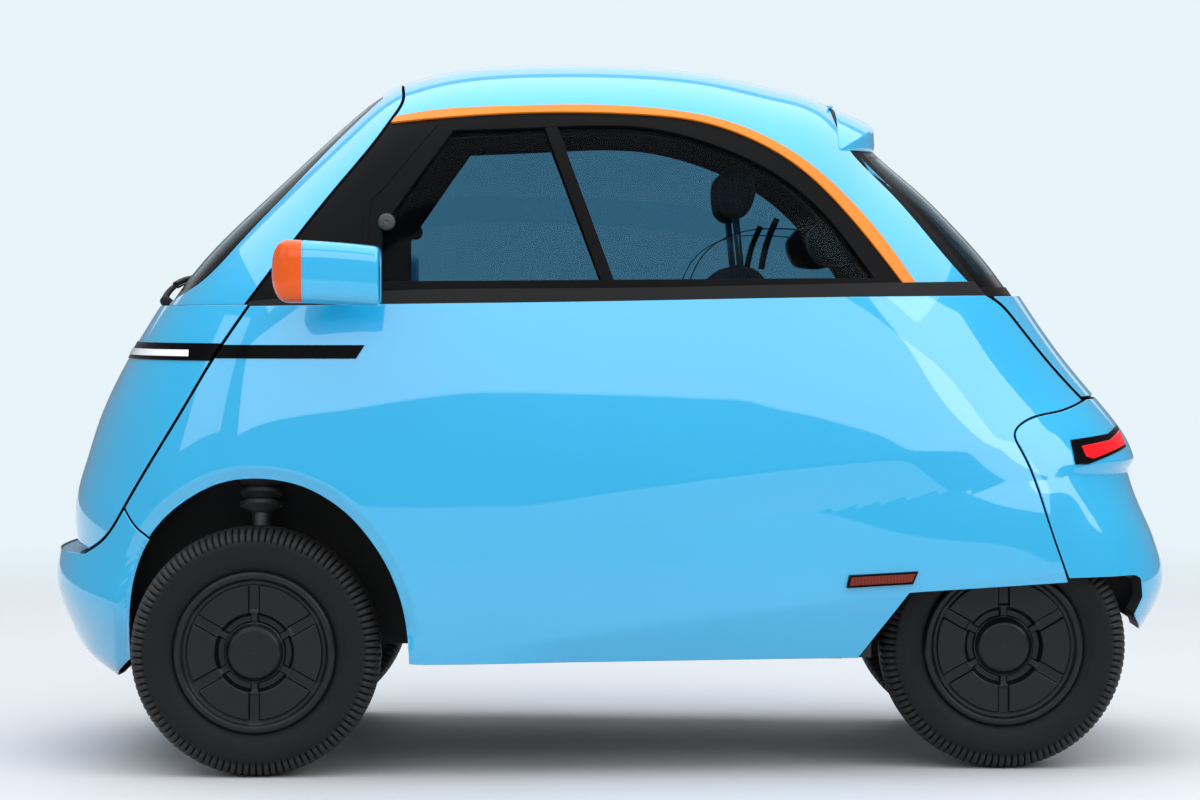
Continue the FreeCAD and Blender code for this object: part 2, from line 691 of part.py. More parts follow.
def knuckle():
    x = FRONT_AXLE_X
    stub = rod((x, 552, TYRE_RADIUS), (x, FRONT_WHEEL_Y + 18, TYRE_RADIUS), STUB_RADIUS)
    plate = prism(corners([(x - 24, 171), (x + 24, 171), (x + 44, 270), (x + 26, 400), (x - 26, 400),
                           (x - 44, 270)]), 552, 572)
    lug = box(x - 20, x + 20, 560, 612, 171, 184)
    clamp = box(x - 24, x + 24, 486, 566, 372, 402)
    tube = rod((x, 505, 374), (x, 478, 640), 20.0)
    dy = KING_TOP[0] - KING_LOW[0]
    dz = KING_TOP[1] - KING_LOW[1]
    size = math.hypot(dy, dz)
    ring = [(0, -6), (18, -6)]
    for k in range(5):
        s = -20 - 26 * k
        ring += [(30, s + 4), (46, s - 4), (46, s - 12), (30, s - 20)]
    ring += [(18, -150), (0, -150)]
    coil = spin([(r, s) for r, s in ring], (x, KING_TOP[0], KING_TOP[1]), (0, dy / size, dz / size))
    pins = [king_pin(KING_TOP, -8, 36, TOP_PIN), king_pin(KING_LOW, -16, 16, LOW_PIN)]
    pin = x - STEER_ARM
    arm = prism(corners([(x + 10, 240), (pin - 32, 240), (pin - 32, 254), (x - 30, 262), (x + 10, 262)]),
                552, 572)
    boss = box(pin - 32, pin + 20, 552, ARM_Y + 23, 240, 254)
    slot = box(pin - 23, pin + 12, ARM_Y - 16, ARM_Y + 16, 230, 270)
    return stub.fuse([plate, lug, clamp, tube, coil, arm, boss] + pins).cut(slot)


def front_subframe():
    x = FRONT_AXLE_X
    beam = box(x - 60, x + 60, -330, 330, 176, 226)
    arms = []
    for side in (1, -1):
        arm = prism(Part.Face(Part.makePolygon([V(x - 20, 0, 138), V(x + 20, 0, 138), V(x + 20, 0, 156),
                                                V(x - 20, 0, 156), V(x - 20, 0, 138)])), 560, 612)
        web = Part.makeLoft([
            Part.makePolygon([V(x - 70, 320, 180), V(x + 70, 320, 180), V(x + 70, 320, 206),
                              V(x - 70, 320, 206), V(x - 70, 320, 180)]),
            Part.makePolygon([V(x - 22, 575, 138), V(x + 22, 575, 138), V(x + 22, 575, 156),
                              V(x - 22, 575, 156), V(x - 22, 575, 138)])], True)
        whole = arm.fuse(web).cut(king_pin(KING_LOW, -60, 40, LOW_PIN + RUNNING))
        arms.append(whole if side > 0 else mirror(whole))
    legs = [box(x - 40, x + 40, y - 30, y + 30, 226, 262) for y in (-250, 250)]
    return beam.fuse(arms + legs)


def steering_rack():
    x = FRONT_AXLE_X - STEER_ARM
    tube = rod((x, -240, ROD_Z), (x, 240, ROD_Z), 26.0)
    bore = rod((x, -260, ROD_Z), (x, 260, ROD_Z), ROD_RADIUS + RUNNING)
    legs = [box(x - 16, x + 16, y - 20, y + 20, ROD_Z + 18, 262) for y in (-180, 180)]
    return tube.fuse(legs).cut(bore)


def tie_rods():
    x = FRONT_AXLE_X - STEER_ARM
    bar = rod((x, -ARM_Y, ROD_Z), (x, ARM_Y, ROD_Z), ROD_RADIUS)
    ends = [rod((x, y, ROD_Z - 10), (x, y, ROD_Z + 10), 12.0) for y in (-ARM_Y, ARM_Y)]
    pins = [rod((x, y, ROD_Z), (x, y, 272), 6.0) for y in (-ARM_Y, ARM_Y)]
    return bar.fuse(ends + pins)


def floor_pan():
    inner = body(WALL + 1.0)
    low = FLOOR_Z
    high = FLOOR_Z + FLOOR_THICK
    rear = [
        box(-575, 376, -640, 640, low, high),
        box(-575, -550, -600, 600, low, 640),
        box(-1140, -550, -600, 600, 610, 640),
        box(-380, 180, -400, 400, high, 290),
        box(-750, -720, -60, 60, 440, 612),
    ]
    front = [
        box(370, 1040, -402, 402, 262, 290),
        box(1010, 1040, -402, 402, 262, 600),
    ]
    beams = [box(1030, 1200, y - 60, y + 60, 330, 400).common(nose(WALL)) for y in (-TOW_Y, TOW_Y)]
    pads = [box(x - 35, x + 35, y - 25, y + 25, PAD_Z, low) for x in PAD_X for y in (-PAD_Y, PAD_Y)]
    kept = [p.common(inner) for p in rear] + [p.common(body(DOOR_WALL + 8.0)) for p in front]
    thread = rod((TOW_FACE - TOW_DEPTH, TOW_Y, TOW_Z), (TOW_FACE + 200, TOW_Y, TOW_Z), TOW_RADIUS)
    face = box(TOW_FACE, 1300, TOW_Y - 30, TOW_Y + 30, TOW_Z - 30, TOW_Z + 30)
    return kept[0].fuse(kept[1:] + beams + pads).cut([face, thread])


def wheel_liner():
    """Inner skin of the left front wheel opening with the strut tower."""
    outer = outline(aside(ARCH, -24.0))
    ring = prism(outer, 404, 900).cut(prism(outline(aside(ARCH, -18.0)), 412, 900))
    ring = ring.cut(box(300, 1100, 300, 900, 100, 264))
    tower = spin([(0, 0), (70, 0), (70, 88), (0, 88)], (FRONT_AXLE_X, 478, 636), (0, 0, 1))
    room = spin([(0, 0), (62, 0), (62, 80), (0, 80)], (FRONT_AXLE_X, 478, 630), (0, 0, 1))
    shape = ring.fuse(tower).cut(room).cut(king_pin(KING_TOP, -30, 60, TOP_PIN + RUNNING))
    return shape.common(body(WALL + 1.0)).common(nose(WALL + 1.0).fuse(box(-1300, 1040, -900, 900, 0, 1400)))


def rear_axle():
    x = REAR_AXLE_X
    y = REAR_WHEEL_Y
    stub = rod((x, -y - 18, TYRE_RADIUS), (x, y + 18, TYRE_RADIUS), STUB_RADIUS)
    beam = rod((x, -370, TYRE_RADIUS), (x, 370, TYRE_RADIUS), 32.0)
    arms = []
    for side in (1, -1):
        arm = prism(corners([(x - 30, 240), (x + 30, 236), (-575, 285), (-575, 325), (x + 30, 300),
                             (x - 30, 296)]), 300, 345)
        arms.append(arm if side > 0 else mirror(arm))
    return beam.fuse([stub] + arms)


def rear_damper():
    ring = [(0, 0), (14, 0), (14, 30), (22, 34)]
    for k in range(5):
        s = 44 + 30 * k
        ring += [(30, s), (42, s + 8), (42, s + 14), (30, s + 22)]
    ring += [(18, 200), (18, 262), (0, 262)]
    return spin(ring, (REAR_AXLE_X + 45, 322, 303.5), (0.0, 0.0, 1.0))


def drive_motor():
    return rod((-735, -140, 330), (-735, 140, 330), 88.0).fuse(box(-800, -670, -60, 60, 300, 440))


def battery_box():
    return rounded(box(-375, 170, -420, 420, 290, SEAT_BASE), 12.0, lambda e: e.Length > 200)


def seat_cushion():
    return prism(corners([(-262, SEAT_BASE), (-262, 604), (-236, 622), (-60, 606), (150, 640), (205, 630),
                          (222, 590), (205, 540), (175, SEAT_BASE)]), -520, 520)


def seat_back():
    shape = prism(corners([(-350, SEAT_BASE), (-264, SEAT_BASE), (-264, 626), (-198, 640), (-212, 800),
                           (-234, 1040), (-256, 1096), (-316, 1113), (-364, 1096), (-366, 1040),
                           (-350, 800)]), -520, 520)
    sockets = []
    for y in (-310, -210, 210, 310):
        sockets.append(rod((-310, y, 1060), (-296, y, 1200), 6.3))
    return shape.cut(sockets)


def headrests():
    pads = []
    points = [(-253, 1300), (-292, 1316), (-333, 1310), (-345, 1247), (-329, 1202), (-291, 1182),
              (-255, 1209)]
    for side in (1, -1):
        pad = prism(corners(points), 150, 370)
        posts = [rod((-309, y, 1068), (-296, y, 1200), 6.0) for y in (210, 310)]
        whole = pad.fuse(posts)
        pads.append(whole if side > 0 else mirror(whole))
    return Part.makeCompound(pads)


def dashboard():
    shape = prism(corners([(700, 800), (590, 815), (556, 860), (566, 905), (640, 925), (720, 918),
                           (745, 860)]), -430, 430)
    legs = [box(640, 690, y - 25, y + 25, 290, 830) for y in (-330, 330)]
    return shape.fuse(legs)


def steer_axis():
    lean = math.radians(WHEEL_LEAN)
    return V(-math.cos(lean), 0, math.sin(lean))


def steering_column():
    centre = V(*WHEEL_CENTRE)
    axis = steer_axis()
    b = centre - axis * 155.0
    sleeve = Part.makeCylinder(30.0, 105.0, b, axis)
    shaft = Part.makeCylinder(SHAFT_RADIUS, 145.0, b, axis)
    return sleeve.fuse(shaft).cut(dashboard())


def steering_wheel():
    centre = V(*WHEEL_CENTRE)
    axis = steer_axis()
    octagon = [(WHEEL_RING + 14.0 * math.cos(math.radians(45 * k + 22.5)),
                14.0 * math.sin(math.radians(45 * k + 22.5))) for k in range(8)]
    ring = spin(octagon, tuple(centre), tuple(axis))
    hub = Part.makeCylinder(46.0, 44.0, centre - axis * 42.0, axis)
    spokes = []
    across = V(0, 1, 0)
    down = axis.cross(across)
    for way in (across, across * -1.0, down * (1.0 if down.z < 0 else -1.0)):
        start = centre - axis * 24.0 + way * 30.0
        end = centre + way * (WHEEL_RING - 4.0)
        spokes.append(Part.makeCylinder(11.0, (end - start).Length, start, end - start))
    bore = Part.makeCylinder(SHAFT_RADIUS + SHAFT_PLAY, 40.0 + SHAFT_PLAY, centre - axis * 50.0, axis)
    return ring.fuse([hub] + spokes).cut(bore)


def bar(a, b, size, spare):
    """Square bar from a to b, run on by a spare length at both ends."""
    shape = Part.makeBox((b - a).Length + 2 * spare, size, size, V(-spare, -size / 2, -size / 2))
    shape.Placement = FreeCAD.Placement(a, FreeCAD.Rotation(V(1, 0, 0), b - a))
    return shape


def wiper():
    points = [front_point(46.2, -330, LEDGE - 18.0), front_point(45.6, -120, LEDGE - 18.0),
              front_point(45.2, 80, LEDGE - 18.0), front_point(45.0, 250, LEDGE - 18.0)]
    pivot = front_point(42.4, 0, -18.0)
    foot = front_point(42.4, 0, -0.5)
    parts = [bar(a, b, 9.0 + i * 0.5, 3.0) for i, (a, b) in enumerate(zip(points, points[1:]))]
    parts.append(bar(points[1], pivot, 8.0, 3.0))
    parts.append(bar(foot, pivot, 26.0, 0.0))
    return parts[0].fuse(parts[1:])


def belt_reels():
    pads = []
    for side in (1, -1):
        reel = prism(corners([(-498, 1100), (-520, 1190), (-560, 1216), (-596, 1190), (-590, 1100),
                              (-540, 1088)]), 420, 640)
        pads.append(reel if side > 0 else mirror(reel))
    return Part.makeCompound(pads).common(body(WALL))


def main():
    save("front_door", front_door())
    save("windshield", windshield())
    save("light_bar", light_bar())
    save("wiper", wiper())
    save("hinge_arms", hinge_arms())
    save("front_bumper", front_bumper())
    panel = side_panel()
    pin = rod((*DOOR_HINGE, HINGE_LOW), (*DOOR_HINGE, HINGE_TOP), HINGE_PIN)
    save("side_panel_left", panel.cut(hinge_pocket()).fuse(pin))
    save("side_panel_right", mirror(panel))
    save("side_inserts", both(side_insert()))
    trim = belt_trim()
    save("belt_trims", both(trim))
    frame = window_frame()
    save("window_frames", both(frame))
    save("side_windows", both(side_glass()))
    save("roof_panel", roof_panel())
    save("roof_strips", both(roof_strip()))
    save("tailgate", tailgate())
    save("rear_window", rear_window())
    save("rear_bumper", rear_bumper())
    save("rear_lamps", both(Part.makeCompound([tail_lamp(), reflector()])))
    pod, stalk = mirror_pod()
    save("mirror_pods", both(pod.fuse(stalk)))
    for place, x, y in (("front", FRONT_AXLE_X, FRONT_WHEEL_Y), ("rear", REAR_AXLE_X, REAR_WHEEL_Y)):
        for name, side in (("left", 1), ("right", -1)):
            tyre, wheel = wheel_parts(x, y, side)
            save("tyre_%s_%s" % (place, name), tyre)
            save("wheel_%s_%s" % (place, name), wheel)
    left = knuckle()
    save("knuckle_left", left)
    save("knuckle_right", mirror(left))
    save("front_subframe", front_subframe())
    save("steering_rack", steering_rack())
    save("tie_rods", tie_rods())
    save("floor_pan", floor_pan())
    save("wheel_liners", both(wheel_liner()))
    save("rear_axle", rear_axle())
    save("rear_dampers", both(rear_damper()))
    save("drive_motor", drive_motor())
    save("battery_box", battery_box())
    save("seat_cushion", seat_cushion())
    save("seat_back", seat_back())
    save("headrests", headrests())
    save("dashboard", dashboard())
    save("steering_column", steering_column())
    save("steering_wheel", steering_wheel())
    save("belt_reels", belt_reels())


if __name__ == "__main__":
    main()
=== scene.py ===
import json
import math

import bpy
import numpy as np
from bpy.props import FloatProperty, FloatVectorProperty, PointerProperty
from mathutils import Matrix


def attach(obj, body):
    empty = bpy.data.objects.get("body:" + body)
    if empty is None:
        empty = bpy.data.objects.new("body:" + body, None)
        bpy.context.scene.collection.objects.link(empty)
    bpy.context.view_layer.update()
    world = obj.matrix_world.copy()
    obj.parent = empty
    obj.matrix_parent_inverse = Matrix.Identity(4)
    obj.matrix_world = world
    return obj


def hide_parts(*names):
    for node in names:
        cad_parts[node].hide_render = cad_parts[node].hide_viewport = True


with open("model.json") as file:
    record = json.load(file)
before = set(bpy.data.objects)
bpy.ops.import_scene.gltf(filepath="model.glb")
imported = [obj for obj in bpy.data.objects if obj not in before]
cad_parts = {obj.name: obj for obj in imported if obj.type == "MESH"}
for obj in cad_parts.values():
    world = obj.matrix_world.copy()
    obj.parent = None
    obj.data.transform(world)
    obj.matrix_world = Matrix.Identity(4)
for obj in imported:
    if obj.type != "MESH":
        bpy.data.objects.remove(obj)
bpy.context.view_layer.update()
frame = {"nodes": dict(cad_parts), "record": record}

bl_info = {
    "name": "Microcar surfaces",
    "version": (1, 0, 0),
    "blender": (4, 5, 0),
    "location": "View3D > Sidebar > Microcar",
    "description": "Surfaces, materials and stage of a two-seat electric microcar",
    "category": "Add Mesh",
}

# Sizes in millimetres, as in the source of the solids.
AXLE = {"front": 737.0, "rear": -867.0}
TRACK_HALF = {"front": 617.5, "rear": 457.5}
TYRE_RADIUS = 266.5
LUGS = 110
LEDGE = 14.0                   # how far the glasshouse lies inside the skin
FAN_Z = 100.0                  # height of the axis that the skin's sections fan out from
SWING = 3.0                    # half the seam round the door and the tailgate
SEAM = 2.0                     # half the seam at the bumpers
EDGE = 1.6                     # radius of a panel's rounded edge
GAP = SWING + EDGE
POD_SIDES = 72
HAND_WHEEL = (430.0, 290.0, 880.0)
HAND_RIM = 168.0
COLUMN_TILT = 25.0             # degrees of the steering column over the level
HINGE_X = -508.0
HINGE_Y = 210.0
HINGE_Z = 1441.5

# Camera and floor, in metres and degrees but for the floor's half size in millimetres.
LENS, SENSOR = 118.08, 36.0
CAMERA_AT = (0.0045, 9.0, 1.0135)
CAMERA_DIP = 1.456
FLOOR_HALF = 40000.0
FLOOR_SHADE = 0.45             # share of the floor's colour that diffuse rays see

CENTRE_LINE = [
    (1030, 120), (1116, 260), (1164, 400), (1188, 500), (1188, 575), (1166, 652), (1136, 741),
    (1081, 856), (1017, 960), (902, 1113), (745, 1265), (574, 1423), (486, 1491), (373, 1533),
    (178, 1554), (4, 1555), (-177, 1545), (-301, 1525), (-388, 1504), (-510, 1466), (-613, 1366),
    (-707, 1284), (-793, 1201), (-880, 1104), (-981, 958), (-1051, 863), (-1132, 765),
    (-1180, 690), (-1197, 620), (-1213, 540), (-1240, 460), (-1250, 410), (-1236, 355),
    (-1200, 295), (-1140, 215), (-1060, 130),
]
BUMPER_LINE = [
    (1020, 120), (1074, 176), (1150, 222), (1190, 278), (1222, 345), (1236, 400), (1228, 450),
    (1208, 520), (1190, 600), (1150, 700),
]
HALF_WIDTH = [
    (-1320, 520), (-1100, 594), (-850, 634), (-500, 668), (0, 706), (300, 731), (720, 748),
    (900, 722), (1050, 680), (1250, 610),
]
TUMBLE = [
    (60, 34), (240, 14), (400, 2), (520, 0), (700, 5), (1000, 32), (1200, 55), (1410, 75), (1600, 85),
]
SQUARE = [
    (0, 2.8, 7.0), (36, 2.8, 7.0), (50, 3.6, 9.0), (65, 3.6, 9.0), (90, 3.2, 8.0), (130, 3.2, 8.0),
    (146, 3.4, 9.0), (160, 4.0, 12.0), (180, 4.0, 12.0),
]
DOOR_LOW = [(1120, 469), (1083, 494), (1031, 565), (894, 780), (824, 893), (752, 998)]
DOOR_UP = [(762, 998), (651, 1147), (565, 1257), (489, 1352), (448, 1413), (432, 1450), (438, 1482),
           (470, 1600)]
BUMPER_SEAM = [(1034, 574), (1009, 538), (976, 507)]
ARCH = [
    (1025, 200), (1023, 320), (1006, 442), (960, 527), (882, 593), (806, 628), (726, 637), (640, 624),
    (550, 575), (480, 498), (432, 405), (410, 302), (407, 200),
]
SILL = [(1100, 243), (-549, 246), (-655, 390), (-1002, 409)]
REAR_SEAM = [
    (-1005, 405), (-951, 558), (-896, 695), (-883, 728), (-908, 754), (-983, 773), (-1058, 797),
]
GATE_LOW = [(-836, 1025), (-861, 1010), (-903, 966), (-989, 862), (-1056, 791)]
GATE_UP = [(-511, 1500), (-512, 1440), (-536, 1358), (-626, 1258), (-734, 1132), (-817, 1036)]
BELT_LOW = [(752, 1001), (475, 1005), (4, 1011), (-422, 1019), (-850, 1024)]
BELT_TOP = [(737, 1011), (475, 1031), (4, 1038), (-422, 1046), (-850, 1054)]
STRIP_TOP = [
    (440, 1410), (350, 1423), (220, 1430), (91, 1434), (-82, 1430), (-168, 1421), (-255, 1404),
    (-341, 1372), (-427, 1322), (-514, 1249), (-600, 1154), (-672, 1052),
]
STRIP_LOW = [
    (446, 1399), (220, 1417), (-82, 1417), (-211, 1402), (-319, 1366), (-427, 1301), (-514, 1219),
    (-600, 1115), (-648, 1051),
]
GLASS_EDGE = [(921, 1024), (873, 1050), (787, 1133), (656, 1274), (569, 1368), (502, 1435)]
WINDOW = [(469, 1052), (469, 1166), (319, 1378), (109, 1386), (-105, 1384), (-237, 1350), (-382, 1280),
          (-479, 1198), (-584, 1060)]
DIVIDER = [(128, 1400), (-4, 1040)]
DIVIDER_WIDTH = 26.0
REAR_PANE = [(-570, 1336), (-645, 1252), (-753, 1128), (-829, 1030)]
REFLECTOR = [(-526, 428), (-670, 435), (-660, 411), (-521, 404)]
BAR_LOW = 886.0
BAR_TOP = 921.0
GATE_FOOT = 797.0
BUMPER_TOP = 460.0
DOOR_FOOT = 469.0


# Curves and the skin

class Track:
    """Natural cubic curve through (t, value) pairs, run on straight beyond its ends."""

    def __init__(self, pairs):
        self.t, self.v = np.array(sorted(pairs), float).T
        n = len(self.t)
        h = np.diff(self.t)
        grid, load = np.eye(n), np.zeros(n)
        i = np.arange(1, n - 1)
        grid[i, i - 1], grid[i, i], grid[i, i + 1] = h[:-1], 2 * (h[:-1] + h[1:]), h[1:]
        rise = np.diff(self.v) / h
        load[1:-1] = 6 * np.diff(rise)
        self.bend = np.linalg.solve(grid, load)

    def __call__(self, t):
        i = np.clip(np.searchsorted(self.t, t) - 1, 0, len(self.t) - 2)
        h = self.t[i + 1] - self.t[i]
        a = (self.t[i + 1] - t) / h
        b = 1 - a
        curl = ((a ** 3 - a) * self.bend[i] + (b ** 3 - b) * self.bend[i + 1]) * h * h / 6
        return a * self.v[i] + b * self.v[i + 1] + np.where((a >= 0) & (a <= 1), curl, 0)


def polar(points):
    return [(math.degrees(math.atan2(z - FAN_Z, x)), math.hypot(x, z - FAN_Z)) for x, z in points]


BODY = Track(polar(CENTRE_LINE))
NOSE = Track(polar(BUMPER_LINE))
WIDTH = Track(HALF_WIDTH)
LEAN = Track(TUMBLE)
ACROSS = Track([row[:2] for row in SQUARE])
OUTWARD = Track([row[::2] for row in SQUARE])


def level(p, inset, line):
    """Zero on the skin: (a^m + b^n)^(1/k) - 1, where a is |y| over the half width, b is the distance from
    the fan axis over the section's reach, and k is the mean of m and n weighted by the two terms."""
    x, y, z = p[..., 0], p[..., 1], p[..., 2]
    turn = np.degrees(np.arctan2(z - FAN_Z, x))
    m, n = ACROSS(turn), OUTWARD(turn)
    a = (np.abs(y) / (WIDTH(x) - LEAN(z) - inset)) ** m
    b = (np.hypot(x, z - FAN_Z) / (line(turn) - inset)) ** n
    k = (m * a + n * b) / (a + b)
    return (a + b) ** (1 / k) - 1


def slope(p, inset, line):
    """Gradient of the level, by central differences of a quarter millimetre."""
    step = 0.25
    return np.stack([level(p + e, inset, line) - level(p - e, inset, line)
                     for e in np.eye(3) * step], -1) / (2 * step)


def settle(p, inset, line=BODY):
    """Points moved onto the skin by Newton steps along the gradient."""
    for _ in range(7):
        g = slope(p, inset, line)
        p = p - (level(p, inset, line) / (g ** 2).sum(-1))[..., None] * g
    return p


def unit(v):
    return v / np.maximum(np.linalg.norm(v, axis=-1, keepdims=True), 1e-12)


def out_of(p, inset, line=BODY):
    return unit(slope(p, inset, line))


def half_at(x, z, inset, line=BODY):
    """Half width where a side view point meets the skin: (W - inset) (1 - (r / reach)^n)^(1 / m)."""
    turn = np.degrees(np.arctan2(z - FAN_Z, x))
    r = np.hypot(x, z - FAN_Z) / (line(turn) - inset)
    share = np.clip(1 - r ** OUTWARD(turn), 0, None) ** (1 / ACROSS(turn))
    return share * (WIDTH(x) - LEAN(z) - inset)


def lengths(line):
    """Length along a line up to each of its points."""
    return np.r_[0, np.cumsum(np.linalg.norm(np.diff(line, axis=0), axis=1))]


def run(points, count=400):
    """Side view line through points: a natural cubic over the chord lengths, or one straight stretch."""
    p = np.array(points, float)
    t = lengths(p)
    s = np.linspace(0, t[-1], count)
    if len(p) == 2:
        return p[0] + (p[1] - p[0]) * (s / t[-1])[:, None]
    return np.stack([Track(list(zip(t, p[:, i])))(s) for i in (0, 1)], 1)


def bent(points, count=60):
    """Side view line of straight stretches."""
    parts = [run(points[i:i + 2], count)[:-1] for i in range(len(points) - 1)]
    return np.vstack(parts + [np.array(points[-1:], float)])


def aside(line, gap):
    """The line moved to its left, square to its own direction."""
    way = unit(np.gradient(line, axis=0))
    return line + np.stack([-way[:, 1], way[:, 0]], 1) * gap


def longer(line, far=400.0):
    """The line run on straight at both ends."""
    first = line[0] + unit(line[0] - line[1]) * far
    last = line[-1] + unit(line[-1] - line[-2]) * far
    return np.vstack([first, line, last])


def meet(a, b, near=None):
    """Point where two lines cross, the first along a, or the one nearest to a given point."""
    a, b = longer(a), longer(b)
    p, r = a[:-1, None], np.diff(a, axis=0)[:, None]
    q, s = b[None, :-1], np.diff(b, axis=0)[None]
    cross = r[..., 0] * s[..., 1] - r[..., 1] * s[..., 0]
    cross = np.where(np.abs(cross) < 1e-12, np.nan, cross)
    t = ((q - p)[..., 0] * s[..., 1] - (q - p)[..., 1] * s[..., 0]) / cross
    u = ((q - p)[..., 0] * r[..., 1] - (q - p)[..., 1] * r[..., 0]) / cross
    i, j = np.nonzero((t >= 0) & (t < 1) & (u >= 0) & (u < 1))
    spots = a[i] + (a[i + 1] - a[i]) * t[i, j][:, None]
    if near is None:
        return spots[0]
    return spots[np.argmin(np.linalg.norm(spots - near, axis=1))]


def cut(line, start, end):
    """Stretch of a line between two points on it, in the order given."""
    long = longer(line)
    seg = np.diff(long, axis=0)
    size = np.linalg.norm(seg, axis=1)
    at = np.r_[0, np.cumsum(size)]

    def place(point):
        t = np.clip(((point - long[:-1]) * seg).sum(1) / size ** 2, 0, 1)
        gap = np.linalg.norm(long[:-1] + seg * t[:, None] - point, axis=1)
        k = int(np.argmin(gap))
        return at[k] + t[k] * size[k]

    a, b = place(np.asarray(start)), place(np.asarray(end))
    low, high = min(a, b), max(a, b)
    keep = long[(at > low + 1e-6) & (at < high - 1e-6)]
    ends = (start, end) if a <= b else (end, start)
    out = np.vstack([ends[0], keep, ends[1]])
    return out if a <= b else out[::-1]


def flank(line, inset, body=BODY):
    """A side view line laid on the left half of the skin."""
    y = half_at(line[:, 0], line[:, 1], inset, body)
    return np.stack([line[:, 0], y, line[:, 1]], 1)


def over(line, inset, body=BODY):
    """A side view line that leaves the silhouette, laid on the skin from its start to the centre plane.
    Places crowd towards the exit as the cube of what is left, because y falls there as a cube root."""
    at = lengths(line)

    def spot(u):
        return np.stack([np.interp(u, at, line[:, 0]), np.interp(u, at, line[:, 1])], -1)

    def outside(u):
        x, z = spot(u).T
        turn = np.degrees(np.arctan2(z - FAN_Z, x))
        return np.hypot(x, z - FAN_Z) - (body(turn) - inset)

    u = np.linspace(0, at[-1], 4000)
    first = int(np.argmax(outside(u) > 0))
    low, high = u[first - 1], u[first]
    for _ in range(50):
        mid = 0.5 * (low + high)
        low, high = (mid, high) if outside(np.array([mid]))[0] < 0 else (low, mid)
    tau = np.linspace(0, 1, 1500)
    p = spot(low * (1 - (1 - tau) ** 3))
    curve = flank(p, inset, body)
    curve[-1, 1] = 0
    return curve


def centre(a, b, inset, body=BODY):
    """Stretch of the centre plane's outline between two points on it."""
    t = np.degrees(np.arctan2([a[2] - FAN_Z, b[2] - FAN_Z], [a[0], b[0]]))
    turn = np.linspace(t[0], t[1], 600)
    r = body(turn) - inset
    return np.stack([r * np.cos(np.radians(turn)), 0 * r, FAN_Z + r * np.sin(np.radians(turn))], 1)


def spaced(line, share):
    """Points of a line at shares of its length."""
    at = lengths(line)
    at = at / at[-1]
    return np.stack([np.interp(share, at, line[:, i]) for i in range(line.shape[1])], -1)


def laid(line, count):
    return spaced(line, np.linspace(0, 1, count + 1))


def chain(lines, counts):
    """Lines end to end, each with its own count of steps, so their corners are kept."""
    parts = [laid(line, n)[:-1] for line, n in zip(lines, counts)]
    return np.vstack(parts + [lines[-1][-1:]])


def steps(counts, breaks):
    """Shares with so many steps between each pair of breaks."""
    parts = [np.linspace(a, b, n, endpoint=False) for n, a, b in zip(counts, breaks, breaks[1:])]
    return np.r_[np.concatenate(parts), breaks[-1]]


def patch(low, high, first, last, inset, body=BODY, loops=160):
    """Grid on the skin between four lines. It starts as the Coons sum of the two ruled surfaces less the
    bilinear one, then evens out by Winslow's equation, whose weights are the squared cell sides, and is
    moved back onto the skin."""
    rows, cols = len(first), len(low)
    t = np.linspace(0, 1, rows)[:, None, None]
    s = np.linspace(0, 1, cols)[None, :, None]
    grid = (1 - t) * low[None] + t * high[None] + (1 - s) * first[:, None] + s * last[:, None]
    grid = grid - ((1 - t) * ((1 - s) * low[0] + s * low[-1]) + t * ((1 - s) * high[0] + s * high[-1]))
    edge = np.ones((rows, cols), bool)
    edge[1:-1, 1:-1] = False
    kept = grid.copy()
    for k in range(loops + 1):
        if k % 40 == 0:
            grid = np.where(edge[..., None], kept, settle(grid, inset, body))
        if k == loops:
            break
        e, w = grid[1:-1, 2:], grid[1:-1, :-2]
        n, d = grid[2:, 1:-1], grid[:-2, 1:-1]
        u, v = (e - w) / 2, (n - d) / 2
        alpha = (v * v).sum(-1, keepdims=True)
        gamma = (u * u).sum(-1, keepdims=True)
        beta = (u * v).sum(-1, keepdims=True)
        skew = grid[2:, 2:] - grid[:-2, 2:] - grid[2:, :-2] + grid[:-2, :-2]
        grid = grid.copy()
        grid[1:-1, 1:-1] = (alpha * (e + w) + gamma * (n + d) - beta / 2 * skew) / (2 * (alpha + gamma))
    return grid


def whole(half):
    """A grid from the left edge to the centre plane, and on to the right edge."""
    back = half[:, -2::-1] * np.array([1, -1, 1])
    return np.concatenate([half, back], 1)


def raised(grid, normal, height):
    """The grid moved out by a height field over the side view, with its normals turned to suit: the
    field's gradient along the surface is taken off the normal."""
    h = 0.5
    x, z = grid[..., 0], grid[..., 2]
    lift = height(x, z)
    grad = np.stack([(height(x + h, z) - height(x - h, z)) / (2 * h), 0 * x,
                     (height(x, z + h) - height(x, z - h)) / (2 * h)], -1)
    along = grad - (grad * normal).sum(-1, keepdims=True) * normal
    return grid + lift[..., None] * normal, unit(normal - along)


# Meshes

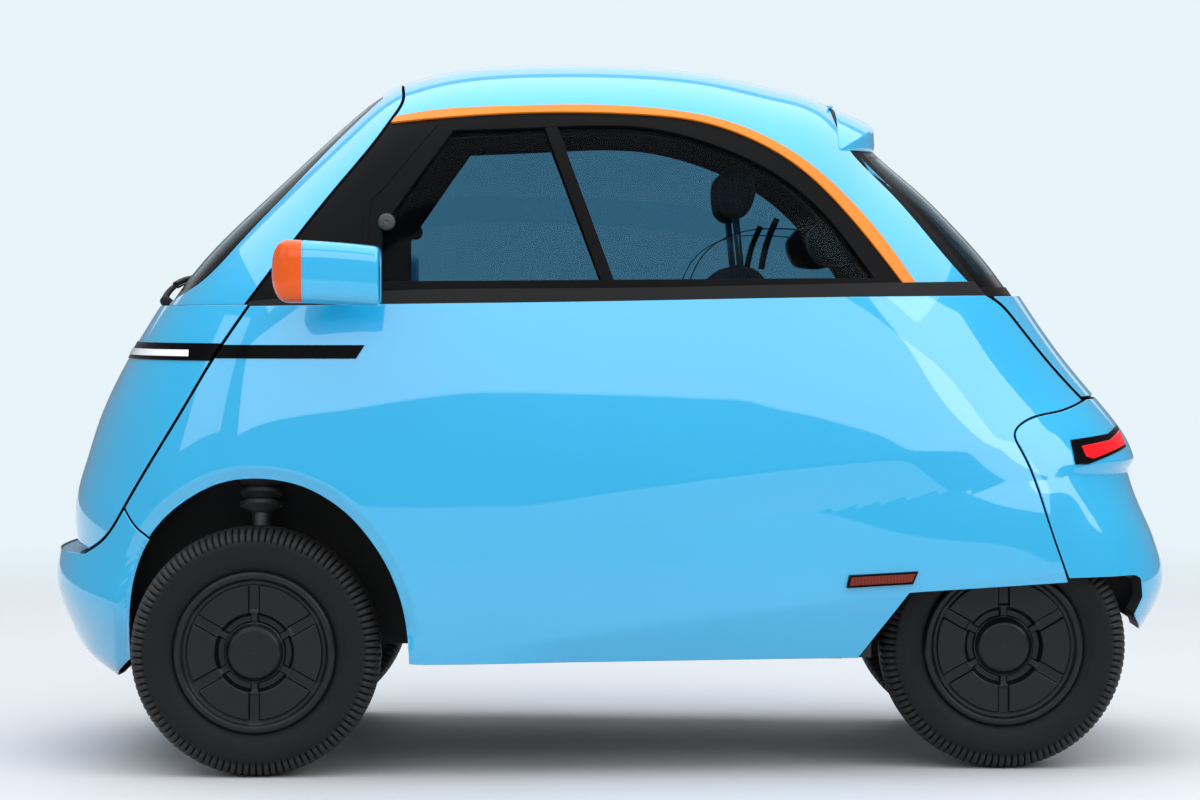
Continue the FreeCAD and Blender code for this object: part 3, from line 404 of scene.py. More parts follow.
def put(name, verts, faces, normals=None, looks=(), kinds=None):
    """Mesh object from millimetre points and faces of three or four corners."""
    mesh = bpy.data.meshes.new(name)
    verts = np.asarray(verts, float) / 1000
    faces = [np.asarray(f) for f in (faces if isinstance(faces, list) else [faces]) if len(f)]
    index = np.concatenate([f.ravel() for f in faces]).astype(np.int32)
    sizes = np.concatenate([np.full(len(f), f.shape[1]) for f in faces])
    mesh.vertices.add(len(verts))
    mesh.vertices.foreach_set("co", verts.astype(np.float32).ravel())
    mesh.loops.add(len(index))
    mesh.loops.foreach_set("vertex_index", index)
    mesh.polygons.add(len(sizes))
    mesh.polygons.foreach_set("loop_start", np.r_[0, np.cumsum(sizes)[:-1]].astype(np.int32))
    mesh.polygons.foreach_set("use_smooth", np.ones(len(sizes), bool))
    if kinds is not None:
        mesh.polygons.foreach_set("material_index", np.asarray(kinds, np.int32))
    mesh.update(calc_edges=True)
    if normals is not None:
        mesh.normals_split_custom_set_from_vertices(np.asarray(normals, np.float32))
    obj = bpy.data.objects.new(name, mesh)
    bpy.context.scene.collection.objects.link(obj)
    for look in looks:
        mesh.materials.append(look)
    return obj


def quads(index, wrap_cols=False, wrap_rows=False):
    """Faces of an index grid, optionally closed along a direction."""
    if wrap_cols:
        index = np.concatenate([index, index[:, :1]], 1)
    if wrap_rows:
        index = np.concatenate([index, index[:1]], 0)
    return np.stack([index[:-1, :-1], index[:-1, 1:], index[1:, 1:], index[1:, :-1]], -1).reshape(-1, 4)


def shell(grid, normal, thick, edge, ring=False, turns=3):
    """Closed slab over a grid: the outer face, an edge rounded through a quarter turn of a given radius,
    a flange square to the skin and the inner face. Returns points, normals, faces and their kinds."""
    rows, cols = grid.shape[:2]
    index = np.arange(rows * cols).reshape(rows, cols)
    faces = quads(index, wrap_cols=ring)
    i, j = rows // 2, cols // 2
    flip = np.dot(np.cross(grid[i, j + 1] - grid[i, j], grid[i + 1, j] - grid[i, j]), normal[i, j]) < 0
    if ring:
        loops = [index[0], index[-1][::-1]]
    else:
        loops = [np.r_[index[0], index[1:, -1], index[-1, -2::-1], index[-2:0:-1, 0]]]
    flat, out = grid.reshape(-1, 3), normal.reshape(-1, 3)
    points, normals, sheets = [flat], [out], [faces]
    kinds = [np.zeros(len(faces), int)]
    count = rows * cols
    ends = []
    for loop in loops:
        p, n = flat[loop], out[loop]
        ahead = unit(np.roll(p, -1, 0) - p)
        behind = unit(p - np.roll(p, 1, 0))
        sign = -1.0 if flip else 1.0
        b1, b2 = unit(np.cross(ahead, n)) * sign, unit(np.cross(behind, n)) * sign
        way = (b1 + b2) / np.maximum(1 + (b1 * b2).sum(1, keepdims=True), 0.6)
        last = loop
        for k in range(1, turns + 2):
            kinds.append(np.full(len(loop), int(k > turns)))
            angle = math.radians(90.0 * min(k, turns) / turns)
            drop = edge * (1 - math.cos(angle)) if k <= turns else thick
            points.append(p + edge * math.sin(angle) * way - drop * n)
            normals.append(unit(math.cos(angle) * n + math.sin(angle) * unit(way)))
            here = count + np.arange(len(loop))
            count += len(loop)
            sheets.append(np.stack([last, here, np.roll(here, -1), np.roll(last, -1)], 1))
            last = here
        ends.append((loop, last))
    inner = index + count
    points.append(flat - thick * out)
    normals.append(-out)
    for loop, last in ends:
        sheets.append(np.stack([last, loop + count, np.roll(loop, -1) + count, np.roll(last, -1)], 1))
    sheets.append(quads(inner, wrap_cols=ring)[:, ::-1])
    faces = np.concatenate(sheets)
    if flip:
        faces = faces[:, ::-1]
    kinds = np.concatenate(kinds)
    kinds = np.r_[kinds, np.ones(len(faces) - len(kinds), int)]
    return np.concatenate(points), np.concatenate(normals), faces, kinds


def joined(parts):
    """Several (points, normals, faces, kinds) as one."""
    shift, out = 0, [[], [], [], []]
    for p, n, f, k in parts:
        out[0].append(p)
        out[1].append(n)
        out[2].append(f + shift)
        out[3].append(k)
        shift += len(p)
    return [np.concatenate(x) for x in out]


def mirrored(part):
    p, n, f, k = part
    other = np.array([1, -1, 1])
    return p * other, n * other, f[:, ::-1], k


def bordered(part, rows, cols, wide):
    """A slab whose outermost cells, inside and outside, take the third look."""
    p, n, f, k = part
    band_of = np.zeros((rows, cols), bool)
    band_of[:wide], band_of[-wide:], band_of[:, :wide], band_of[:, -wide:] = True, True, True, True
    k = k.copy()
    k[:rows * cols][band_of.ravel()] = 2
    k[-rows * cols:][band_of.ravel()] = 2
    return p, n, f, k


def mounted(obj, body, nodes=()):
    """The object, riding on its body and standing for its nodes."""
    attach(obj, body)
    if nodes:
        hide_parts(*nodes)
    return obj


def piece(name, parts, body, looks, nodes=()):
    """One object from one slab or several."""
    p, n, f, k = joined(parts if isinstance(parts, list) else [parts])
    return mounted(put(name, p, f, n, looks, k), body, nodes)


def plain(name, mesh, body, finish, nodes=()):
    """One object of a single finish from points and faces."""
    return mounted(put(name, *mesh, None, [finish]), body, nodes)


def slab(grid, inset, thick, edge=EDGE, body=BODY, ring=False, height=None):
    """Closed slab over a grid on the skin, with its relief where a height field is given."""
    normal = out_of(grid, inset, body)
    if height is not None:
        grid, normal = raised(grid, normal, height)
    return shell(grid, normal, thick, edge, ring)


# Shader kit

class Wire:
    """A shader socket on which Python's operators add Math nodes."""

    def __init__(self, kit, socket):
        self.kit, self.socket = kit, socket

    def _math(self, kind, a, b):
        return self.kit.add("ShaderNodeMath", {"operation": kind}, {0: a, 1: b})

    def __add__(self, b):
        return self._math("ADD", self, b)

    def __mul__(self, b):
        return self._math("MULTIPLY", self, b)

    def __truediv__(self, b):
        return self._math("DIVIDE", self, b)


class Kit:
    """Nodes of one material, with its Principled shader at hand."""

    def __init__(self, name):
        self.material = bpy.data.materials.new(name)
        self.material.use_nodes = True
        self.tree = self.material.node_tree
        self.shader = self.tree.nodes["Principled BSDF"]

    def add(self, kind, settings=None, inputs=None, out=0):
        node = self.tree.nodes.new(kind)
        for key, value in (settings or {}).items():
            if key == "stops":
                ramp = node.color_ramp.elements
                while len(ramp) < len(value):
                    ramp.new(0.5)
                for element, (place, colour) in zip(ramp, value):
                    element.position, element.color = place, (*colour, 1)
            else:
                setattr(node, key, value)
        for key, value in (inputs or {}).items():
            socket = node.inputs[key]
            if isinstance(value, Wire):
                self.tree.links.new(value.socket, socket)
            else:
                socket.default_value = value
        return Wire(self, node.outputs[out])

    def place(self):
        return self.add("ShaderNodeTexCoord", out="Object")

    def noise(self, scale, detail=2.0, rough=0.5, where=None):
        return self.add("ShaderNodeTexNoise", None, {
            "Vector": where or self.place(), "Scale": scale, "Detail": detail, "Roughness": rough})

    def between(self, value, low, high):
        return self.add("ShaderNodeMapRange", None, {
            "Value": value, "From Min": 0.0, "From Max": 1.0, "To Min": low, "To Max": high})

    def mask(self, value, low, high):
        return self.add("ShaderNodeMapRange", {"interpolation_type": "SMOOTHSTEP"}, {
            "Value": value, "From Min": low, "From Max": high, "To Min": 0.0, "To Max": 1.0})

    def mix(self, share, a, b):
        def colour(c):
            return c if isinstance(c, Wire) else (*c, 1.0)
        return self.add("ShaderNodeMix", {"data_type": "RGBA"}, {
            0: share, 6: colour(a), 7: colour(b)}, out=2)

    def axes(self):
        where = self.place()
        return [self.add("ShaderNodeSeparateXYZ", None, {0: where}, out=i) for i in range(3)]

    def sine(self, value):
        return self.add("ShaderNodeMath", {"operation": "SINE"}, {0: value})

    def bump(self, height, strength, distance):
        self.set("Normal", self.add("ShaderNodeBump", None, {
            "Height": height, "Strength": strength, "Distance": distance}))

    def set(self, key, value):
        socket = self.shader.inputs[key]
        if isinstance(value, Wire):
            self.tree.links.new(value.socket, socket)
        elif isinstance(value, tuple) and len(value) == 3:
            socket.default_value = (*value, 1.0)
        else:
            socket.default_value = value
        return self


def linear(r, g, b):
    """Scene colour of an 8-bit screen colour."""
    return tuple(((c / 255 + 0.055) / 1.055) ** 2.4 if c > 10 else c / 255 / 12.92 for c in (r, g, b))


LOOKS = {}


def look(name):
    """The finish of that name, made at its first use."""
    if name not in LOOKS:
        maker, *values = MAKERS[name]
        LOOKS[name] = maker(*values)
    return LOOKS[name]


def make_paint(name, colour, dark, coat=1.85):
    """Glossy two-coat paint: slight colour drift over the panels and a fine orange-peel ripple. The colour
    is a value, or the name of a setting."""
    kit = Kit(name)
    if isinstance(colour, str):
        colour = tuple(getattr(settings(), colour))
    drift = kit.noise(1.6, 2.0)
    fine = kit.noise(900.0, 1.0)
    kit.set("Base Color", kit.mix(kit.between(drift, 0.0, 0.35), colour, dark))
    kit.set("Roughness", kit.between(fine, 0.30, 0.38))
    kit.set("Metallic", 0.0).set("Coat Weight", 1.0).set("Coat Roughness", 0.03).set("Coat IOR", coat)
    kit.set("Specular IOR Level", 0.3)
    kit.bump(kit.noise(260.0, 1.0), 0.02, 0.0004)
    return kit.material


def make_plastic(name, colour, rough, grain, depth, coat=0.0, shine=0.5):
    """Moulded plastic: fine leather-like grain, and a faint film of dust in broad patches."""
    kit = Kit(name)
    dust = kit.mask(kit.noise(2.0, 2.0), 0.3, 0.9)
    pale = tuple(min(c * 1.2 + 0.001, 1) for c in colour)
    kit.set("Base Color", kit.mix(dust, colour, pale))
    kit.set("Roughness", kit.between(kit.noise(6.0, 2.0), rough - 0.03, rough + 0.04))
    kit.set("Coat Weight", coat).set("Specular IOR Level", shine)
    cells = kit.add("ShaderNodeTexVoronoi", {"feature": "F1"}, {"Vector": kit.place(), "Scale": grain})
    kit.bump(cells, depth, 0.0003)
    return kit.material


def make_glass(name, clear, film_of, ior=1.12):
    """Tinted pane: clear glass whose colour deepens at each face, under a faint film of dust."""
    kit = Kit(name)
    film = kit.noise(3.0, 3.0)
    kit.set("Base Color", kit.mix(film, clear, film_of))
    kit.set("Roughness", kit.between(film, 0.0, 0.012))
    kit.set("Transmission Weight", 1.0).set("IOR", ior)
    return kit.material


def make_rubber():
    """Tyre rubber: mottled black side walls, greyer on the worn blocks of the tread, and dark in its
    grooves as painted shade.
    """
    kit = Kit("tyre_rubber")
    blot = kit.noise(14.0, 4.0, 0.6)
    wall = kit.mix(blot, (0.004, 0.004, 0.0045), (0.010, 0.010, 0.0105))
    block = kit.mix(blot, (0.026, 0.026, 0.027), (0.044, 0.044, 0.045))
    # Painted shade: the tread attribute is 1 on the block tops, which take the worn grey, and 0 in the
    # slots and grooves, which keep the dark side wall colour.
    tread = kit.add("ShaderNodeAttribute", {"attribute_name": "tread"}, out="Fac")
    kit.set("Base Color", kit.mix(tread, wall, block))
    kit.set("Roughness", kit.between(kit.noise(60.0, 3.0), 0.42, 0.60)).set("Specular IOR Level", 0.22)
    kit.bump(kit.noise(900.0, 2.0), 0.15, 0.0004)
    return kit.material


def make_lamp():
    """Red lamp lens with fine upright ribs under a clear coat, glowing a little."""
    kit = Kit("red_lens")
    rib = kit.sine(kit.axes()[0] * 1400.0)
    kit.set("Base Color", kit.mix(kit.between(rib, 0.0, 1.0), (0.62, 0.006, 0.010),
                                  (0.34, 0.002, 0.004)))
    kit.set("Roughness", kit.between(rib, 0.12, 0.25))
    kit.set("Emission Color", kit.mix(kit.between(rib, 0.0, 1.0), (0.9, 0.02, 0.03), (0.5, 0.0, 0.0)))
    kit.set("Emission Strength", 0.7)
    kit.set("Coat Weight", 0.15).set("Specular IOR Level", 0.1)
    return kit.material


def make_marker():
    """Side reflector: a dark orange-red plate of small upright ribs."""
    kit = Kit("marker")
    rib = kit.sine(kit.axes()[0] * 900.0)
    share = kit.between(rib, 0.2, 0.8)
    kit.set("Base Color", kit.mix(share, (0.30, 0.035, 0.015), (0.10, 0.010, 0.006)))
    kit.set("Roughness", kit.between(rib, 0.15, 0.3))
    kit.set("Coat Weight", 0.1).set("Specular IOR Level", 0.2)
    kit.bump(rib, 0.4, 0.001)
    return kit.material


def make_mirror():
    """Mirror glass: bright metal behind a smooth face with a faint smear."""
    kit = Kit("mirror_glass")
    smear = kit.noise(12.0, 3.0)
    kit.set("Base Color", kit.mix(smear, (0.55, 0.58, 0.6), (0.62, 0.65, 0.67)))
    kit.set("Metallic", 1.0).set("Roughness", kit.between(smear, 0.02, 0.06))
    return kit.material


def make_white_lens():
    kit = Kit("white_lens")
    kit.set("Base Color", kit.mix(kit.noise(200.0), (0.80, 0.82, 0.84), (0.95, 0.96, 0.97)))
    kit.set("Emission Color", kit.mix(kit.noise(160.0), (0.9, 0.93, 1.0), (1.0, 1.0, 1.0)))
    kit.set("Emission Strength", 0.35)
    kit.set("Roughness", 0.12).set("Coat Weight", 1.0)
    return kit.material


def make_metal(name, colour, rough, scale, depth):
    """Cast or rolled metal: grain in the colour, patchy roughness and a pitted surface."""
    kit = Kit(name)
    grain = kit.noise(scale, 4.0, 0.6)
    dark = tuple(c * 0.6 for c in colour)
    kit.set("Base Color", kit.mix(grain, dark, colour))
    kit.set("Metallic", 0.85)
    kit.set("Roughness", kit.between(kit.noise(scale * 0.3, 3.0), rough - 0.12, rough + 0.12))
    kit.bump(grain, depth, 0.0006)
    return kit.material


def make_cloth():
    """Woven seat cloth: two crossed sets of threads a millimetre apart, with painted shade where they dip.
    """
    kit = Kit("seat_cloth")
    x, y, z = kit.axes()
    weave = (kit.sine(y * 5200.0) * kit.sine((x + z) * 5200.0) + 1.0) / 2.0
    blot = kit.noise(30.0, 3.0)
    # Painted shade: the weave's colour falls to the darker tint where the threads dip.
    tint = kit.mix(weave, (0.012, 0.013, 0.015), (0.045, 0.048, 0.055))
    kit.set("Base Color", kit.mix(kit.between(blot, 0.0, 0.5), tint, (0.02, 0.021, 0.024)))
    kit.set("Roughness", kit.between(weave, 0.75, 0.92))
    kit.bump(weave, 0.4, 0.0005)
    return kit.material


MAKERS = {
    "blue_paint": (make_paint, "blue_paint", "paint", (0.012, 0.36, 0.74)),
    "orange_paint": (make_paint, "orange_paint", "accent", (0.90, 0.20, 0.0), 1.3),
    "orange_lens": (make_paint, "orange_lens", linear(255, 100, 0), (0.80, 0.07, 0.0), 1.3),
    "clear_glass": (make_glass, "side_glass", (0.20, 0.36, 0.45), (0.18, 0.34, 0.43)),
    "dark_glass": (make_glass, "screen_glass", (0.13, 0.20, 0.235), (0.12, 0.185, 0.22), 1.05),
    "gloss_black": (make_plastic, "gloss_black", (0.004, 0.004, 0.005), 0.20, 40.0, 0.01, 0.0, 0.03),
    "black_trim": (make_plastic, "black_trim", (0.009, 0.009, 0.0095), 0.50, 900.0, 0.25, 0.0, 0.22),
    "frame_black": (make_plastic, "frame_black", (0.006, 0.006, 0.0065), 0.45, 300.0, 0.03, 0.0, 0.06),
    "grey_plastic": (make_plastic, "grey_plastic", (0.05, 0.05, 0.052), 0.4, 500.0, 0.05),
    "wheel_black": (make_plastic, "wheel_black", (0.005, 0.005, 0.0054), 0.30, 700.0, 0.08, 0.0, 0.35),
    "cast_metal": (make_metal, "cast_metal", (0.22, 0.22, 0.23), 0.55, 90.0, 0.3),
    "dark_steel": (make_metal, "dark_steel", (0.05, 0.05, 0.055), 0.45, 60.0, 0.2),
    "aluminium": (make_metal, "aluminium", (0.5, 0.5, 0.52), 0.4, 70.0, 0.2),
    "red_lens": (make_lamp,),
    "marker": (make_marker,),
    "mirror_glass": (make_mirror,),
    "white_lens": (make_white_lens,),
    "tyre": (make_rubber,),
    "seat_cloth": (make_cloth,),
}


# Body panels

def arch_gap(x, z):
    """Distance from side view points to the wheel arch."""
    line = run(ARCH, 240)
    x, z = np.broadcast_arrays(x, z)
    flat = np.stack([x.ravel(), z.ravel()], 1)
    out = np.empty(len(flat))
    for k in range(0, len(flat), 20000):
        part = flat[k:k + 20000]
        out[k:k + 20000] = np.sqrt(((part[:, None] - line[None]) ** 2).sum(-1)).min(1)
    return out.reshape(x.shape)


def ramp(t):
    t = np.clip(t, 0, 1)
    return t * t * (3 - 2 * t)


def fold(x, z, a, b, start, end, soft):
    """Depth below a crease from a to b: softplus of the drop under the line, faded in between two x."""
    line = a[1] + (b[1] - a[1]) * (x - a[0]) / (b[0] - a[0])
    drop = np.clip((line - z) / soft, -30, 30)
    return soft * np.log1p(np.exp(drop)) * ramp((start - x) / (start - end))


def arch_edge(x, z):
    """Chamfer along the wheel arch: a softplus fall over its last 24 millimetres."""
    drop = (24.0 - arch_gap(x, z)) / 1.5
    return -0.42 * 1.5 * np.log1p(np.exp(np.clip(drop, -30, 30)))


def side_height(x, z):
    """Relief of the side: a chamfer round the wheel arch and two creases under which the panel turns in."""
    low = fold(x, z, (216, 280), (-630, 392), 300.0, 60.0, 5.0)
    mid = fold(x, z, (-80, 613), (-923, 716), 200.0, -450.0, 3.0)
    return arch_edge(x, z) - 0.20 * low - 0.08 * mid - tail_groove(x, z)


def tail_groove(x, z):
    """Depth of the step under the rear lamps: steep above, easing out below, growing towards the tail."""
    drop = 640.0 - z
    shape = ramp((drop + 26.0) / 26.0) * (1 - ramp(drop / 150.0))
    return 20.0 * shape * ramp((-x - 960.0) / 170.0)


def rear_height(x, z):
    """Relief of the rear bumper: the mid crease runs on into it, over the step under the lamps."""
    mid = fold(x, z, (-80, 613), (-923, 716), 200.0, -450.0, 3.0)
    return -0.08 * mid * (1 - ramp((-x - 1000.0) / 120.0)) - tail_groove(x, z)


def side_panel():
    door = aside(run(DOOR_LOW), GAP)
    belt = aside(run(BELT_LOW), EDGE)
    gate = aside(run(GATE_LOW), GAP)
    seam = aside(run(REAR_SEAM), -SEAM - EDGE)
    arch = aside(run(ARCH), -EDGE)
    sill, rise, tail = (aside(run(SILL[i:i + 2]), -EDGE) for i in range(3))
    bump = aside(run(BUMPER_SEAM), -SEAM - EDGE)
    c = {
        "tip": meet(arch, bump, (976, 507)), "nick": meet(bump, door, (1034, 574)),
        "front": meet(door, belt), "back": meet(belt, gate, (-855, 1024)),
        "point": meet(gate, seam, (-1056, 795)), "foot": meet(seam, tail, (-1004, 407)),
        "knee": meet(rise, tail, (-655, 390)), "heel": meet(sill, rise, (-549, 246)),
        "toe": meet(arch, sill, (409, 243)),
    }

    def line(whole_line, a, b):
        return flank(cut(whole_line, c[a], c[b]), 0)

    counts = [90, 60, 18, 34]
    low = chain([line(arch, "tip", "toe"), line(sill, "toe", "heel"), line(rise, "heel", "knee"),
                 line(tail, "knee", "foot")], counts)
    high = spaced(line(belt, "front", "back"), steps(counts, [0, 0.30, 0.72, 0.82, 1]))
    first = chain([line(bump, "tip", "nick"), line(door, "nick", "front")], [10, 70])
    last = chain([line(seam, "foot", "point"), line(gate, "point", "back")], [48, 32])
    return patch(low, high, first, last, 0, loops=600)


def band(low, high, side, near, inset, cols, rows, body=BODY, loops=60):
    """Strip across an end of the car between two side view lines, from a side line to its mirror image.
    The rough places where the side line meets them are given."""
    a, b = meet(side, low, near[0]), meet(side, high, near[1])
    low = over(cut(low, a, low[-1]), inset, body)
    high = over(cut(high, b, high[-1]), inset, body)
    first = laid(flank(cut(side, a, b), inset, body), rows)
    last = laid(centre(low[-1], high[-1], inset, body), rows)
    return whole(patch(laid(low, cols), laid(high, cols), first, last, inset, body, loops))


def surround(side, away, belt, window, near, counts, rows):
    """Ring round a window of the glasshouse. It runs from the window's foot, edge and top out to the belt,
    the side line and the line that leaves over the roof, and is carried round both sides."""
    foot, edge, top = window
    a, b, c = meet(side, belt, near[0]), meet(edge, foot, near[1]), meet(edge, top, near[2])
    d = away[np.argmin(np.linalg.norm(away - np.array(near[3]), axis=1))]
    inner = chain([over(cut(foot, b, foot[-1]), LEDGE)[::-1], flank(cut(edge, b, c), LEDGE),
                   over(cut(top, c, top[-1]), LEDGE)], counts)
    outer = chain([over(cut(belt, a, belt[-1]), LEDGE)[::-1], flank(cut(side, a, d), LEDGE),
                   over(cut(away, d, away[-1]), LEDGE)], counts)
    t = np.linspace(0, 1, rows + 1)[:, None, None]
    half = settle((1 - t) * inner[None] + t * outer[None], LEDGE)
    half[:, 0, 1] = half[:, -1, 1] = 0
    back = half[:, -2:0:-1] * np.array([1, -1, 1])
    return np.concatenate([half, back], 1)


def door_skin():
    """Lower skin of the front door, from the bumper to the belt."""
    foot = run([(900, DOOR_FOOT + EDGE), (1400, DOOR_FOOT + EDGE)])
    belt = bent([(600, 1006 - EDGE), (1400, 996 - EDGE)])
    return band(foot, belt, aside(run(DOOR_LOW), -GAP), [(1120, 469), (750, 1002)], 0, 60, 70, loops=400)


def door_surround():
    """Upper door: the painted ring round the windshield."""
    side = aside(run(DOOR_UP), -GAP)
    window = (bent([(700, 1010), (1200, 1006)]), aside(run(GLASS_EDGE), 1.0),
              bent([(489, 1474), (565, 1620)]))
    return surround(side, side, bent([(600, 1007), (1400, 997)]), window,
                    [(750, 1002), (940, 1012), (500, 1440), (440, 1415)], [50, 60, 44], 14)


def windshield():
    foot, top = bent([(700, 1012), (1200, 1008)]), bent([(491, 1474), (567, 1620)])
    return band(foot, top, aside(run(GLASS_EDGE), -1.0), [(940, 1012), (500, 1440)], LEDGE + 3.0, 40, 44,
                loops=160)


def level_line(height):
    """Level side view line across the nose."""
    return run([(700, height), (1400, height)])


def light_bar():
    return band(level_line(BAR_LOW), level_line(BAR_TOP), aside(run(DOOR_LOW), -GAP), [(830, 900)] * 2,
                -2.5, 60, 6)


def front_bumper():
    """Front bumper from its lower edge to the door, ending at the wheel arches."""
    arch = aside(run(ARCH), EDGE)
    seam = aside(run(BUMPER_SEAM), SEAM + EDGE)
    low = bent([(930, 240), (1024, 240), (1074, 178), (1400, 178)])
    lip = run([(900, BUMPER_TOP - EDGE), (1400, BUMPER_TOP - EDGE)])
    door = aside(run(DOOR_LOW), GAP)
    a = meet(arch, low, (1024, 240))
    b = meet(arch, seam, (976, 507))
    c = meet(seam, door, (1034, 574))
    d = meet(door, lip, (1120, 460))
    bottom = laid(over(cut(low, a, low[-1]), 0, NOSE), 70)
    side = chain([flank(cut(arch, a, b), 0, NOSE)], [36])
    rim = chain([flank(cut(seam, b, c), 0, NOSE), flank(cut(door, c, d), 0, NOSE),
                 over(cut(lip, d, lip[-1]), 0, NOSE)], [8, 16, 46])
    middle = laid(centre(bottom[-1], rim[-1], 0, NOSE), 36)
    return whole(patch(bottom, rim, side, middle, 0, NOSE, 300))


def bumper_shelf():
    """Ledge that closes the top of the front bumper under the foot of the door."""
    lip = run([(900, BUMPER_TOP - 3.0), (1400, BUMPER_TOP - 3.0)])
    start = np.array([1098.0, BUMPER_TOP - 3.0])
    outer = laid(over(cut(lip, start, lip[-1]), 2.5, NOSE), 60)
    inner = laid(over(cut(lip, start - [14.0, 0], lip[-1]), 26.0), 60)
    t = np.linspace(0, 1, 7)[:, None, None]
    return whole((1 - t) * outer[None] + t * inner[None])


def roof():
    inset = LEDGE
    front = aside(run(DOOR_UP), GAP)
    strip = aside(run(STRIP_TOP), EDGE)
    gate = aside(run(GATE_UP), -GAP)
    belt = aside(run(BELT_TOP), EDGE)
    a = meet(front, strip, (440, 1410))
    b = meet(strip, belt, (-672, 1052))
    c = meet(gate, belt, (-817, 1050))
    up = gate[::-1]
    fore = laid(over(cut(front, a, front[-1]), inset), 50)
    aft = laid(over(np.vstack([cut(up, c, up[-1]), [(-511, 1600)]]), inset), 50)
    outer = chain([flank(cut(strip, a, b), inset), flank(cut(belt, b, c), inset)], [80, 14])
    middle = laid(centre(fore[-1], aft[-1], inset), 94)
    return whole(patch(fore, aft, outer, middle, inset, BODY, 500))


def flank_patch(low, high, first, last, near, inset, rows, cols, loops=60):
    """Side patch between four side view lines, given the rough places of its corners."""
    p = [meet(low, first, near[0]), meet(low, last, near[1]), meet(high, last, near[2]),
         meet(high, first, near[3])]
    return patch(laid(flank(cut(low, p[0], p[1]), inset), cols),
                 laid(flank(cut(high, p[3], p[2]), inset), cols),
                 laid(flank(cut(first, p[0], p[3]), inset), rows),
                 laid(flank(cut(last, p[1], p[2]), inset), rows), inset, BODY, loops)


def belt_trim():
    return flank_patch(run(BELT_LOW), run(BELT_TOP), aside(run(DOOR_UP), SWING + 1),
                       aside(run(GATE_UP), -SWING - 1),
                       [(750, 1002), (-840, 1024), (-830, 1053), (737, 1011)], 2.0, 5, 120)


def roof_strip():
    return flank_patch(aside(run(STRIP_LOW), 0.8), aside(run(STRIP_TOP), -0.8),
                       aside(run(DOOR_UP), SWING + 1), aside(run(BELT_TOP), 1.5),
                       [(446, 1399), (-648, 1052), (-672, 1052), (440, 1410)], LEDGE - 4.0, 4, 160)


def window_ring():
    """Black frame round the side windows."""
    inset = LEDGE
    belt = aside(run(BELT_TOP), 1.5)
    strip = aside(run(STRIP_LOW), -1.2)
    door = aside(run(DOOR_UP), SWING + 1)
    a = meet(door, belt, (737, 1013))
    b = meet(door, strip, (446, 1399))
    c = meet(strip, belt, (-648, 1052))
    counts = [44, 80, 80]
    outer = chain([flank(cut(door, a, b), inset), flank(cut(strip, b, c), inset),
                   flank(cut(belt, c, a), inset)], counts)
    hole_a = bent(WINDOW[:3])
    hole_b = run(WINDOW[2:])
    hole_c = bent([WINDOW[8], WINDOW[0]])
    inner = chain([flank(hole_a, inset), flank(hole_b, inset), flank(hole_c, inset)], counts)
    t = np.linspace(0, 1, 9)[:, None, None]
    grid = (1 - t) * inner[None, :-1] + t * outer[None, :-1]
    return settle(grid, inset)


def window_pane():
    inset = LEDGE + 6.0
    return flank_patch(aside(bent([WINDOW[0], WINDOW[8]]), 4.0), aside(run(WINDOW[2:]), 4.0),
                       aside(bent(WINDOW[:3]), -4.0), bent([(-560, 1300), (-600, 900)]),
                       [WINDOW[0], WINDOW[8], WINDOW[8], WINDOW[2]], inset, 30, 60, 200)


def divider():
    (x0, z0), (x1, z1) = DIVIDER
    front = bent([(x0, z0), (x1, z1)])
    back = bent([(x0 - DIVIDER_WIDTH, z0), (x1 - DIVIDER_WIDTH, z1)])
    low, high = bent([(200, 1050), (-200, 1050)]), bent([(300, 1392), (-200, 1392)])
    return flank_patch(low, high, front, back, [(0, 1050), (-20, 1050), (100, 1392), (125, 1392)],
                       LEDGE + 0.5, 40, 4)


def side_insert():
    door = aside(run(DOOR_LOW), SWING + 1)
    return flank_patch(bent([(950, 891), (480, 891)]), bent([(950, 918), (480, 918)]), door,
                       bent([(501, 918), (518, 891)]),
                       [(825, 891), (518, 891), (501, 918), (808, 918)], -2.0, 6, 70)


def gate_skin():
    """Lower skin of the tailgate, from the rear bumper to the belt."""
    foot = run([(-700, GATE_FOOT + 7.6), (-1500, GATE_FOOT + 7.6)])
    belt = bent([(-600, 1017), (-1500, 1029)])
    return band(foot, belt, aside(run(GATE_LOW), -GAP), [(-1050, 805), (-850, 1020)], 0, 60, 30, loops=200)


def rear_lines(gap):
    """Foot, edge and top of the rear window, moved in by a gap."""
    return (bent([(-700, 1036 + gap), (-850, 1040 + gap), (-1300, 1054 + gap)]),
            aside(run(REAR_PANE), -gap),
            bent([(-480, 1355 - gap), (-600, 1352 - gap), (-1300, 1338 - gap)]))


def gate_surround():
    """Upper tailgate: the frame round the rear window."""
    side = aside(run(GATE_UP), GAP)
    away = np.vstack([side[::-1], [(-514.6, 1620)]])
    return surround(side, away, bent([(-600, 1018), (-1500, 1030)]), rear_lines(0.0),
                    [(-822, 1021), (-829, 1039), (-560, 1353), (-536, 1358)], [50, 50, 44], 12)


def rear_window():
    foot, edge, top = rear_lines(1.0)
    return band(foot, top, edge, [(-829, 1039), (-560, 1353)], LEDGE + 3.0, 40, 40, loops=160)


def rear_bumper():
    """Rear bumper from its lower edge to the tailgate, with the lamps' corner."""
    lip = run([(-900, GATE_FOOT - 2), (-1500, GATE_FOOT - 2)])
    foot = bent([(-960, 420), (-1151, 422), (-1168, 413), (-1172, 369), (-1152, 333), (-1178, 294),
                 (-1400, 283)])
    return band(foot, lip, aside(run(REAR_SEAM), SEAM + EDGE), [(-1000, 420), (-1056, 795)], 0, 90, 60,
                loops=400)


# Turned and swept pieces

def around(count):
    """Angles of a full turn in even steps."""
    return np.linspace(0, 2 * math.pi, count, endpoint=False)


